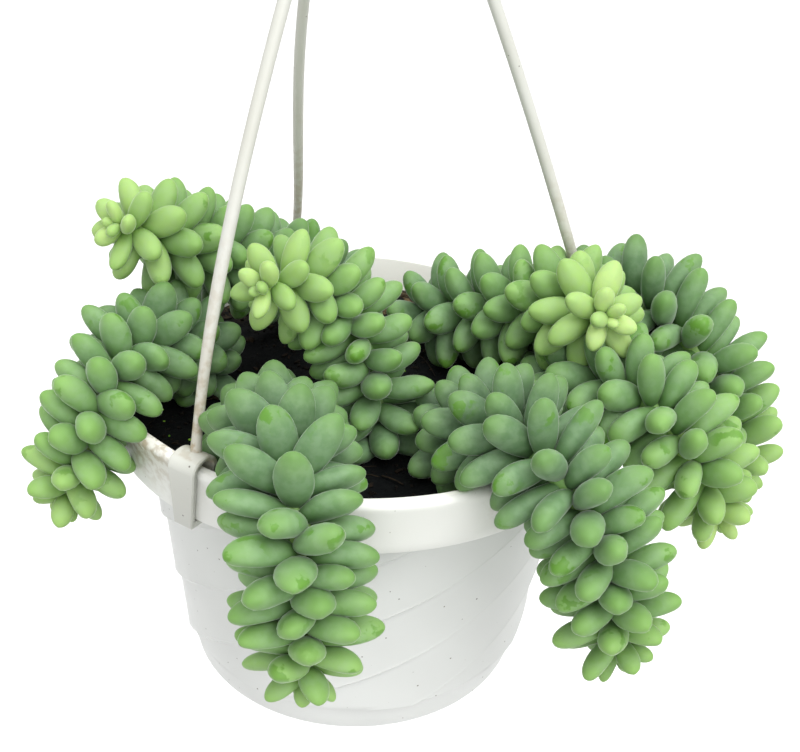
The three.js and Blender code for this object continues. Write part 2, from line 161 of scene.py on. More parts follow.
class Graph:
    """The node tree of one material, or of the studio's surroundings."""

    def __init__(self, owner: bpy.types.Material | bpy.types.World) -> None:
        """Starts an empty tree.

        Args:
            owner: what the tree belongs to.
        """
        self.owner = owner
        owner.use_nodes = True
        self.tree = owner.node_tree
        self.tree.nodes.clear()

    @classmethod
    def of_material(cls, name: str) -> "Graph":
        """A graph for a new material of that name."""
        return cls(bpy.data.materials.new(name))

    def add(
        self,
        kind: str,
        settings: dict | None = None,
        inputs: dict | None = None,
        output: int | str = 0,
    ) -> Value:
        """Adds a node.

        Args:
            kind: the node's type.
            settings: its properties, set first; "stops" holds a ramp's (position, colour) pairs.
            inputs: values or links for its sockets, by name or number.
            output: which of its outputs is wanted.

        Returns:
            That output.
        """
        node = self.tree.nodes.new(kind)
        for key, value in (settings or {}).items():
            if key == "stops":
                self._set_stops(node.color_ramp, value)
            else:
                setattr(node, key, value)
        for key, value in (inputs or {}).items():
            if isinstance(value, Value):
                self.tree.links.new(value.socket, node.inputs[key])
            else:
                node.inputs[key].default_value = value
        return Value(self, node.outputs[output])

    @staticmethod
    def _set_stops(ramp: bpy.types.ColorRamp, stops: Sequence[tuple[float, tuple]]) -> None:
        """Sets a ramp's stops.

        Args:
            ramp: the ramp.
            stops: its (position, colour) pairs.
        """
        while len(ramp.elements) < len(stops):
            ramp.elements.new(1.0)
        for element, (position, colour) in zip(ramp.elements, stops):
            element.position = position
            element.color = colour

    def attribute(self, name: str) -> Value:
        """A number kept on the mesh."""
        return self.add("ShaderNodeAttribute", {"attribute_name": name}, output="Fac")

    def place(self) -> Value:
        """The point on the object, in metres."""
        return self.add("ShaderNodeTexCoord", output="Object")

    def noise(self, scale: float, detail: float = 3.0, shift: float = 0.0) -> Value:
        """Soft noise from 0 to 1, with about that many lumps to the metre."""
        moved = self.add("ShaderNodeMapping", None, {"Vector": self.place(), "Location": (shift,) * 3})
        return self.add("ShaderNodeTexNoise", None, {"Vector": moved, "Scale": scale, "Detail": detail})

    def ramp(self, factor: Value, stops: Sequence[tuple[float, tuple]]) -> Value:
        """A colour by a factor."""
        return self.add("ShaderNodeValToRGB", {"stops": stops}, {0: factor})

    def mix(self, factor: Share, first: Paint, second: Paint) -> Value:
        """A colour between two."""
        return self._blend("MIX", factor, first, second)

    def tint(self, factor: Share, first: Paint, second: Paint) -> Value:
        """A colour multiplied by another, by a share."""
        return self._blend("MULTIPLY", factor, first, second)

    def _blend(self, kind: str, factor: Share, first: Paint, second: Paint) -> Value:
        """Two colours blended by a share."""
        settings = {"data_type": "RGBA", "blend_type": kind, "clamp_factor": True}
        return self.add("ShaderNodeMix", settings, {0: factor, 6: first, 7: second}, 2)

    def bump(self, height: Value, distance: float, strength: float = 1.0) -> Value:
        """A normal from a height, whose full range stands that many metres high."""
        inputs = {"Height": height, "Distance": distance, "Strength": strength}
        return self.add("ShaderNodeBump", None, inputs)

    def finish(self, inputs: dict) -> bpy.types.Material:
        """Closes the tree with a Principled surface and returns the material."""
        self.close("ShaderNodeOutputMaterial", self.add("ShaderNodeBsdfPrincipled", None, inputs))
        return self.owner

    def close(self, kind: str, surface: Value) -> None:
        """Links a surface to the tree's output."""
        end = self.tree.nodes.new(kind)
        self.tree.links.new(surface.socket, end.inputs["Surface"])


# -------------------------------------------------------------------- finishes


@dataclass(frozen=True)
class PotPlastic:
    """White injection-moulded plastic with a few dark specks, a painted highlight where the mesh marks it,
    and brownish darkened patches.
    """

    name: str
    body: tuple = srgb(215, 217, 214)
    shade: tuple = srgb(207, 209, 206)
    speck: tuple = srgb(112, 108, 100)
    # Colour of the painted highlight along the swirl crests, on the collar and inside it.
    crest: tuple = srgb(251, 250, 243)
    brown_mark_colour: tuple = srgb(150, 132, 102)
    speck_spacing: float = 2.9
    speck_size: float = 0.045
    painted_highlight_share: float = 0.5
    cloud_scale: float = 22.0
    blotch_scale: float = 420.0
    roughness: float = 0.38
    relief: float = 0.00012

    def material(self) -> bpy.types.Material:
        """Builds the material.

        Returns:
            The material.
        """
        g = Graph.of_material(self.name)
        cloud = g.noise(self.cloud_scale, 2.0)
        colour = g.mix(cloud.step(0.35, 0.7), self.body, self.shade)
        cells = {"Vector": g.place(), "Scale": 1000.0 / self.speck_spacing}
        near = g.add("ShaderNodeTexVoronoi", None, cells, "Distance")
        kind = g.add("ShaderNodeTexVoronoi", None, cells, "Color")
        draw = g.add("ShaderNodeSeparateColor", None, {0: kind})
        size = draw.step(0.45, 1.0) * self.speck_size + self.speck_size
        speck = (near - size).step(0.015, -0.015) * draw.step(0.1, 0.6)
        colour = g.mix(speck, colour, self.speck)
        # Painted highlight: paler along the swirl crests, on the collar and inside it.
        colour = g.mix(g.attribute("crest") * self.painted_highlight_share, colour, self.crest)
        mark_blotches = g.noise(self.blotch_scale, 4.0).step(0.42, 0.62) * 0.6 + g.noise(90.0, 2.0) * 0.5
        # Brownish darkened patches where the mesh marks them.
        colour = g.mix(g.attribute("dirt") * mark_blotches, colour, self.brown_mark_colour)
        grain = g.noise(900.0, 2.0) * 0.3 + g.noise(60.0, 2.0)
        rough = g.noise(140.0, 3.0) * 0.14 + (self.roughness - 0.07)
        return g.finish(
            {
                "Base Color": colour,
                "Roughness": rough,
                "Normal": g.bump(grain, self.relief, 0.5),
                "IOR": 1.46,
                "Subsurface Weight": 0.12,
                "Subsurface Radius": (1.0, 0.95, 0.9),
                "Subsurface Scale": 0.0015,
            }
        )


@dataclass(frozen=True)
class LeafSkin:
    """A fleshy leaf: yellow-green when young, blue-green when old, under a pale bloom that rubs off, with
    painted shade darkening it towards its root.
    """

    name: str = "leaf_skin"
    ages: tuple = (
        (0.0, srgb(184, 208, 132)),
        (0.1, srgb(165, 195, 115)),
        (0.22, srgb(135, 172, 95)),
        (0.4, srgb(113, 154, 82)),
        (0.7, srgb(83, 121, 73)),
        (1.0, srgb(69, 103, 65)),
    )
    bloom: tuple = srgb(144, 170, 137)
    rubbed: tuple = srgb(86, 134, 40)
    tip: tuple = srgb(132, 171, 92)
    pale: tuple = srgb(184, 206, 180)
    base: tuple = srgb(180, 204, 140)
    sheen: tuple = srgb(228, 238, 226)
    patch_scale: float = 420.0
    rub_scale: float = 240.0
    pore_scale: float = 1600.0
    roughness: float = 0.5
    relief: float = 0.00012

    def material(self) -> bpy.types.Material:
        """Builds the material.

        Returns:
            The material.
        """
        g = Graph.of_material(self.name)
        age = g.attribute("leaf_age")
        tone = g.attribute("leaf_tone")
        along = g.attribute("leaf_along")
        flesh = g.ramp(age, self.ages)
        flesh = g.tint(tone.step(1.0, 0.0) * 0.6, flesh, self.pale)
        patches = g.noise(self.patch_scale, 5.0).step(0.36, 0.66)
        cover = patches * 0.2 + age.step(0.0, 0.45) * 0.25
        colour = g.mix(cover * along.step(1.02, 0.8), flesh, self.bloom)
        colour = g.mix(along.step(0.62, 1.0) * 0.32, colour, self.tip)
        rubs = g.noise(self.rub_scale, 4.0, shift=3.7).step(0.56, 0.62) * along.step(0.5, 0.8)
        rubs = rubs * tone.step(0.45, 0.75) * age.step(0.1, 0.28)
        colour = g.mix(rubs * 0.8, colour, self.rubbed)
        # Painted shade towards each leaf's root, where the leaves crowd round the stem.
        colour = g.mix(along.step(0.5, 0.1) * 0.7, colour, g.tint(1.0, flesh, self.base))
        rough = (rubs * -0.16) + (patches * 0.12 + self.roughness)
        pores = g.noise(self.pore_scale, 2.0) * 0.5 + g.noise(260.0, 2.0)
        return g.finish(
            {
                "Base Color": colour,
                "Roughness": rough,
                "Normal": g.bump(pores, self.relief, 0.35),
                "IOR": 1.4,
                "Specular IOR Level": 0.4,
                "Subsurface Weight": 0.18,
                "Subsurface Radius": (0.55, 1.0, 0.22),
                "Subsurface Scale": 0.0016,
                "Sheen Weight": 0.55,
                "Sheen Roughness": 0.25,
                "Sheen Tint": self.sheen,
            }
        )


@dataclass(frozen=True)
class StemSkin:
    """The bare stem between the leaves, green when young and grey-brown when old."""

    name: str = "stem_skin"
    ages: tuple = ((0.0, srgb(168, 202, 100)), (0.5, srgb(112, 156, 84)), (1.0, srgb(120, 132, 96)))
    scar: tuple = srgb(170, 160, 120)

    def material(self) -> bpy.types.Material:
        """Builds the material.

        Returns:
            The material.
        """
        g = Graph.of_material(self.name)
        green = g.ramp(g.attribute("leaf_age"), self.ages)
        colour = g.tint(g.noise(900.0).step(0.4, 0.7) * 0.4, green, self.scar)
        relief = g.bump(g.noise(800.0), 0.0003, 0.6)
        return g.finish({"Base Color": colour, "Roughness": 0.6, "Normal": relief})


@dataclass(frozen=True)
class Earth:
    """Potting soil, with painted light making its far side paler, or the crumbs, chips, fibres and moss in
    it.
    """

    name: str
    dark: tuple
    light: tuple
    far_side_light: tuple = srgb(134, 114, 80)
    grain: float = 900.0
    relief: float = 0.0006
    far_side_light_span: tuple[float, float] = (0.034, 0.052)

    def material(self) -> bpy.types.Material:
        """Builds the material.

        Returns:
            The material.
        """
        g = Graph.of_material(self.name)
        mottle = g.noise(self.grain, 5.0) * 0.6 + g.noise(self.grain / 6) * 0.4
        depth = g.add("ShaderNodeSeparateXYZ", None, {0: g.place()}, "Y")
        # Painted light: the far side of each surface is paler, where the soil lies open to the light.
        far_side_light = depth.step(*self.far_side_light_span) * g.noise(260.0).step(0.36, 0.6)
        mottled_soil = g.mix(mottle.step(0.38, 0.68), self.dark, self.light)
        colour = g.mix(far_side_light * 0.8, mottled_soil, g.mix(mottle.step(0.4, 0.66), self.light, self.far_side_light))
        return g.finish(
            {
                "Base Color": colour,
                "Roughness": g.noise(self.grain / 2, 2.0) * 0.2 + 0.78,
                "Specular IOR Level": 0.12,
                "Normal": g.bump(mottle, self.relief, 1.0),
            }
        )


@dataclass(frozen=True)
class StudioPaper:
    """The plain pale floor."""

    name: str = "studio_paper"
    paper: tuple = srgb(244, 244, 244)
    cloud: tuple = srgb(242, 242, 242)

    def material(self) -> bpy.types.Material:
        """Builds the material.

        Returns:
            The material.
        """
        g = Graph.of_material(self.name)
        colour = g.mix(g.noise(3.0, 1.0), self.paper, self.cloud)
        return g.finish({"Base Color": colour, "Roughness": 0.9, "Specular IOR Level": 0.1})


# ---------------------------------------------------------------------- meshes


@dataclass
class Shell:
    """Points and faces of a mesh on the way, in millimetres."""

    points: np.ndarray
    faces: list[tuple[int, ...]]
    marks: dict[str, np.ndarray] = field(default_factory=dict)

    @staticmethod
    def joined(shells: Sequence["Shell"]) -> "Shell":
        """Joins several shells.

        Args:
            shells: the shells, which all carry the same marks.

        Returns:
            One shell that holds them all.
        """
        faces: list[tuple[int, ...]] = []
        start = 0
        for shell in shells:
            faces.extend(tuple(index + start for index in face) for face in shell.faces)
            start += len(shell.points)
        points = np.concatenate([shell.points for shell in shells])
        marks = {key: np.concatenate([shell.marks[key] for shell in shells]) for key in shells[0].marks}
        return Shell(points, faces, marks)

    def to_object(
        self, name: str, material: bpy.types.Material, sharp_degrees: float | None = None
    ) -> bpy.types.Object:
        """Makes the Blender object.

        Args:
            name: its name.
            material: its finish.
            sharp_degrees: edges that turn by more than this stay sharp.

        Returns:
            The object, linked to the scene.
        """
        mesh = bpy.data.meshes.new(name)
        mesh.from_pydata((self.points * MM).tolist(), [], self.faces)
        mesh.update()
        mesh.polygons.foreach_set("use_smooth", np.ones(len(mesh.polygons), bool))
        for key, values in self.marks.items():
            layer = mesh.attributes.new(key, "FLOAT", "POINT")
            layer.data.foreach_set("value", np.ascontiguousarray(values, np.float32))
        if sharp_degrees is not None:
            mesh.set_sharp_from_angle(angle=math.radians(sharp_degrees))
        mesh.materials.append(material)
        made = bpy.data.objects.new(name, mesh)
        bpy.context.scene.collection.objects.link(made)
        return made


def grid_faces(rows: int, columns: int) -> list[tuple[int, ...]]:
    """Joins the points of a grid of rings, stored ring by ring, with quads.

    Args:
        rows: how many rings.
        columns: how many points in a ring.

    Returns:
        The faces, which face out where a ring runs counterclockwise and the rings go up.
    """
    faces = []
    for row in range(rows - 1):
        low, high = row * columns, (row + 1) * columns
        for column in range(columns):
            following = (column + 1) % columns
            faces.append((low + column, low + following, high + following, high + column))
    return faces


def capped(points: np.ndarray, rows: int, columns: int) -> Shell:
    """Closes a grid of rings by filling its first and last ring.

    Args:
        points: the rings' points.
        rows: how many rings.
        columns: how many points in a ring.

    Returns:
        The shell.
    """
    faces = grid_faces(rows, columns)
    faces.append(tuple(reversed(range(columns))))
    faces.append(tuple(range((rows - 1) * columns, rows * columns)))
    return Shell(points.reshape(-1, 3), faces)


def lathe(profile: Sequence[tuple[float, float]], columns: int) -> Shell:
    """Turns a profile about +Z.

    Args:
        profile: (radius, height) points that run up the outside.
        columns: how many points in a ring.

    Returns:
        The closed form.
    """
    rings = [ring(radius, turned_round(columns), height) for radius, height in profile]
    return capped(np.array(rings), len(profile), columns)


class Route:
    """A smooth line through chosen points, measured along its length."""

    SAMPLES = 600

    def __init__(self, points: Sequence[Point]) -> None:
        """Runs a centripetal spline through the points.

        Args:
            points: the points that the line runs through.
        """
        knots = np.array(points, float)
        knots = np.vstack([2 * knots[0] - knots[1], knots, 2 * knots[-1] - knots[-2]])
        pieces = len(knots) - 3
        line = [self._between(knots[i : i + 4], np.linspace(0, 1, 61)[:-1]) for i in range(pieces)]
        line = np.vstack([*line, knots[-2]])
        walked = np.concatenate([[0], np.cumsum(np.linalg.norm(np.diff(line, axis=0), axis=1))])
        self.length = float(walked[-1])
        stations = np.linspace(0, self.length, self.SAMPLES)
        self.line = np.stack([np.interp(stations, walked, line[:, axis]) for axis in range(3)], 1)
        self.tangents = unit(np.gradient(self.line, axis=0))
        self.normals = self._carried_normals()

    @staticmethod
    def _between(four: np.ndarray, share: np.ndarray) -> np.ndarray:
        """Finds the curve between the middle two of four points.

        Args:
            four: the points.
            share: how far along, from 0 to 1.

        Returns:
            The curve's points.
        """
        steps = np.maximum(np.linalg.norm(np.diff(four, axis=0), axis=1) ** 0.5, 1e-4)
        t0, t1, t2 = steps
        out = []
        for axis in range(3):
            x0, x1, x2, x3 = four[:, axis]
            m1 = ((x1 - x0) / t0 - (x2 - x0) / (t0 + t1) + (x2 - x1) / t1) * t1
            m2 = ((x2 - x1) / t1 - (x3 - x1) / (t1 + t2) + (x3 - x2) / t2) * t1
            c2 = -3 * x1 + 3 * x2 - 2 * m1 - m2
            c3 = 2 * x1 - 2 * x2 + m1 + m2
            out.append(x1 + m1 * share + c2 * share**2 + c3 * share**3)
        return np.stack(out, 1)

    def _carried_normals(self) -> np.ndarray:
        """Carries a normal along the line so that it turns as little as it can.

        Returns:
            The normals at the samples.
        """
        start = np.cross(self.tangents[0], [0.31, 0.95, 0.05])
        normals = [start / np.linalg.norm(start)]
        for tangent in self.tangents[1:]:
            normal = normals[-1] - tangent * (normals[-1] @ tangent)
            normals.append(normal / np.linalg.norm(normal))
        return np.array(normals)

    def at(self, distance: np.ndarray | float) -> np.ndarray:
        """The points at distances from the start."""
        return self._sample(self.line, distance)

    def frame_at(self, distance: np.ndarray | float) -> tuple[np.ndarray, np.ndarray, np.ndarray]:
        """Finds the directions along and across the line.

        Args:
            distance: the distances from the start.

        Returns:
            The tangents, normals and binormals there.
        """
        tangent = unit(self._sample(self.tangents, distance))
        normal = self._sample(self.normals, distance)
        normal = unit(normal - tangent * np.sum(tangent * normal, axis=-1, keepdims=True))
        return tangent, normal, np.cross(tangent, normal)

    def _sample(self, values: np.ndarray, distance: np.ndarray | float) -> np.ndarray:
        """Reads values between the samples.

        Args:
            values: one row for each sample.
            distance: the distances from the start.

        Returns:
            The values there.
        """
        place = np.clip(np.asarray(distance, float) / self.length, 0, 1) * (self.SAMPLES - 1)
        low = np.minimum(place.astype(int), self.SAMPLES - 2)
        share = (place - low)[..., None]
        return values[low] * (1 - share) + values[low + 1] * share

    def tube(self, radius: RadiusRule | float, rows: int, columns: int, flat: float = 1.0) -> Shell:
        """A round or flattened tube along the line.

        Args:
            radius: the radius, or a rule that gives it by share of the length.
            rows: how many rings.
            columns: how many points in a ring.
            flat: the width across the normal as a share of the width along it.

        Returns:
            The tube, closed at its ends.
        """
        share = np.linspace(0, 1, rows)
        centre = self.at(share * self.length)
        _, normal, across = self.frame_at(share * self.length)
        angle = turned_round(columns)[None, :, None]
        section = normal[:, None] * np.cos(angle) + flat * across[:, None] * np.sin(angle)
        size = radius(share) if callable(radius) else np.full(rows, radius)
        return capped(centre[:, None] + size[:, None, None] * section, rows, columns)


# ------------------------------------------------------------------------- pot


@dataclass
class Pot:
    """The pot: a tapered body with overlapping swirls, under a broad collar."""

    rim_radius: float = 70.0
    rim_rounding: float = 1.6
    inner_rounding: float = 0.4
    height: float = 90.0
    wall: float = 2.0
    collar_wall: float = 3.0
    floor: float = 2.5
    collar_underside: float = 74.0
    collar_foot_radius: float = 67.3
    body_foot: float = 9.0
    body_foot_radius: float = 50.8
    body_top_radius: float = 60.0
    foot_radius: float = 48.4
    swirl_starts: int = 8
    swirl_pitch: float = 20.7
    swirl_depth: float = 1.2
    swirl_phase: float = 3.5
    crease_share: float = 0.1
    crest_height: float = 0.12
    crest_spread: float = 0.012
    painted_highlight_shares: tuple[float, float, float] = (0.6, 0.8, 1.7)
    drain_holes: int = 6
    drain_hole_radius: float = 3.5
    drain_circle_radius: float = 34.0
    columns_per_swirl: int = 18
    rim_lifts: tuple[tuple[float, float, float], ...] = ((1.8, 224.0, 15.0), (1.6, 88.0, 18.0))
    lift_heights: tuple[float, float] = (77.0, 90.0)
    brown_mark_places: tuple[tuple[float, float, float], ...] = ((1.0, 220.0, 13.0), (0.6, 302.0, 5.0))
    brown_mark_heights: tuple[float, float] = (75.0, 88.0)
    sharp_edge: float = 42.0

    BESIDE_CREST = (-0.024, -0.014, -0.006, 0.0, 0.006, 0.014, 0.024)

    def body_radius(self, height: float) -> float:
        """The body's mean radius at a height."""
        share = (height - self.body_foot) / (self.collar_underside - self.body_foot)
        return self.body_foot_radius + (self.body_top_radius - self.body_foot_radius) * share

    def collar_radius(self, height: float) -> float:
        """The collar's outer radius at a height."""
        share = (height - self.collar_underside) / (self.height - self.collar_underside)
        return self.collar_foot_radius + (self.rim_radius - self.collar_foot_radius) * share

    def outer_radius(self, height: np.ndarray) -> np.ndarray:
        """The outside's radius at heights, for keeping leaves clear of it."""
        body = self.body_radius(height) + self.swirl_depth / 2
        return np.where(height > self.collar_underside - 1, self.collar_radius(height), body)

    def _outline(self) -> list[tuple[float, float, float]]:
        """Draws the profile up the outside and down the inside.

        Returns:
            The profile as (radius, height, share of the relief).
        """
        body, collar = self.body_foot, self.collar_underside
        outline = [
            (self.foot_radius - 1.0, 0.0, 0.0),
            (self.foot_radius - 0.3, 0.12, 0.0),
            (self.foot_radius, 0.7, 0.0),
            (self.foot_radius + 0.7, body / 2, 0.0),
            (self.foot_radius + 1.35, body - 1.1, 0.0),
            (self.foot_radius + 1.55, body - 0.75, 0.0),
            (self.body_radius(body) - 0.15, body - 0.2, 0.6),
        ]
        for height in np.linspace(body, collar - 0.35, 40):
            outline.append((self.body_radius(height), float(height), 1.0))
        outline.append((self.body_top_radius + 0.6, collar, 0.3))
        lip = self.collar_foot_radius
        outline += [
            (lip - 1.0, collar, 0.0),
            (lip - 0.35, collar + 0.12, 0.0),
            (self.collar_radius(collar + 0.8) - 0.05, collar + 0.8, 0.0),
            (self.collar_radius(collar + 3), collar + 3, 0.0),
            (self.collar_radius(self.height - 3), self.height - 3, 0.0),
        ]
        ease = self.rim_rounding
        for angle in np.radians(np.arange(0, 91, 15)):
            across, up = ease * (math.cos(angle) - 1), ease * (math.sin(angle) - 1)
            outline.append((self.rim_radius + across, self.height + up, 0.0))
        inner = self.rim_radius - self.collar_wall
        ease = self.inner_rounding
        for angle in np.radians(np.arange(0, 91, 30)):
            across, up = ease * (1 - math.sin(angle)), ease * (math.cos(angle) - 1)
            outline.append((inner + across, self.height + up, 0.0))
        ledge = collar + self.wall
        outline += [
            (self.collar_radius(ledge + 3) - self.collar_wall, ledge + 3, 0.0),
            (self.collar_radius(ledge + 1) - self.collar_wall, ledge + 1, 0.0),
            (self.body_top_radius - self.wall, ledge, 0.0),
            (self.body_top_radius - self.wall, collar, 0.0),
            (self.body_radius(body) - self.wall, body + 1, 0.0),
            (self.foot_radius - self.wall + 1, body - 1, 0.0),
            (self.foot_radius - self.wall - 1, self.floor, 0.0),
        ]
        return outline

    def _dirt(self, points: np.ndarray) -> np.ndarray:
        """Finds how strongly the collar is browned and darkened beside the front clip and under the front
        right stem.

        Args:
            points: the points to mark.

        Returns:
            The share of the brown mark at each.
        """
        degrees = np.degrees(np.arctan2(points[:, 1], points[:, 0])) % 360
        dirt = np.zeros(len(points))
        for amount, azimuth, spread in self.brown_mark_places:
            dirt += amount * np.exp(-(((degrees - azimuth) / spread) ** 2))
        return dirt * smooth_step(*self.brown_mark_heights, points[:, 2])

    def _lift(self, angle: np.ndarray) -> np.ndarray:
        """Finds how far the rim is drawn up beside the front and back clips.

        Args:
            angle: angles round the pot.

        Returns:
            The rise at each.
        """
        level = np.zeros_like(angle)
        for rise, azimuth, spread in self.rim_lifts:
            turn = (np.degrees(angle) - azimuth + 180) % 360 - 180
            level = level + rise * np.exp(-((turn / spread) ** 2))
        return level

    def _swirl(self) -> tuple[np.ndarray, np.ndarray, np.ndarray]:
        """Draws the section across one swirl, which rises to a crest and drops in a crease behind it.

        Returns:
            The places across the swirl, from 0 to 1, the relief there, and how near the crest each is.
        """
        crest = 1 - self.crease_share
        slope = np.linspace(0, crest - 0.05, self.columns_per_swirl)
        behind = np.linspace(crest + 0.035, 0.99, 6)
        share = np.concatenate([slope, crest + np.array(self.BESIDE_CREST), behind])
        rise = np.minimum(share / crest, 1) - 0.5
        drop = smooth_step(crest, 1.0, share)
        ridge = np.exp(-(((share - crest) / self.crest_spread) ** 2))
        relief = self.swirl_depth * (rise * (1 - drop) - 0.5 * drop) * 0.95 + self.crest_height * ridge
        return share, relief, ridge

    def _painted_highlights(self, points: np.ndarray, ridges: np.ndarray) -> np.ndarray:
        """Finds how much painted highlight brightens the plastic along the crests, on the collar and inside
        it.

        Args:
            points: the points to mark.
            ridges: how near a swirl's crest each is.

        Returns:
            The share of the brighter colour at each.
        """
        swirls, outside, inside = self.painted_highlight_shares
        collar = smooth_step(self.collar_underside - 0.5, self.collar_underside, points[:, 2])
        flat = np.hypot(points[:, 0], points[:, 1])
        within = flat < self.collar_radius(points[:, 2]) - self.collar_wall / 2
        return np.where(within, inside * collar, np.maximum(swirls * ridges, outside * collar))

    def build(self) -> bpy.types.Object:
        """Builds the pot's mesh with its drain holes and dresses it.

        Returns:
            The pot.
        """
        swirl = self._swirl()
        start = np.repeat(np.arange(self.swirl_starts), len(swirl[0]))
        share, relief, ridge = (np.tile(row, self.swirl_starts) for row in swirl)
        rings = []
        outline = self._outline()
        for radius, height, carved in outline:
            twist = min(max(height, self.body_foot), self.collar_underside) / self.swirl_pitch
            angle = np.radians((start + share + twist) * 360 / self.swirl_starts + self.swirl_phase)
            size = radius + relief * carved
            lifted = float(smooth_step(*self.lift_heights, np.array(height)))
            level = height + self._lift(angle) * lifted
            rings.append(ring(size, angle, level))
        shell = capped(np.array(rings), len(outline), len(share))
        ridges = np.outer([carved for _, _, carved in outline], ridge).ravel()
        # The crest mark carries the painted highlight.
        shell.marks = {"crest": self._painted_highlights(shell.points, ridges), "dirt": self._dirt(shell.points)}
        pot = shell.to_object("pot_body", PotPlastic("pot_plastic").material())
        self._drill(pot)
        pot.data.set_sharp_from_angle(angle=math.radians(self.sharp_edge))
        return pot

    def _drill(self, pot: bpy.types.Object) -> None:
        """Cuts the drain holes through the floor.

        Args:
            pot: the pot, whose mesh is replaced.
        """
        pegs = []
        for place in ring(self.drain_circle_radius, turned_round(self.drain_holes), 0.0):
            peg = lathe([(self.drain_hole_radius, -3.0), (self.drain_hole_radius, 2 * self.floor)], 28)
            peg.points = peg.points + place
            pegs.append(peg)
        cutter = Shell.joined(pegs).to_object("drain_pegs", pot.data.materials[0])
        cut = pot.modifiers.new("drain", "BOOLEAN")
        cut.operation, cut.solver, cut.object = "DIFFERENCE", "EXACT", cutter
        graph = bpy.context.evaluated_depsgraph_get()
        drilled = bpy.data.meshes.new_from_object(pot.evaluated_get(graph))
        pot.modifiers.clear()
        old, pot.data = pot.data, drilled
        bpy.data.meshes.remove(old)
        peg_mesh = cutter.data
        bpy.data.objects.remove(cutter)
        bpy.data.meshes.remove(peg_mesh)


# ------------------------------------------------------------------------ soil


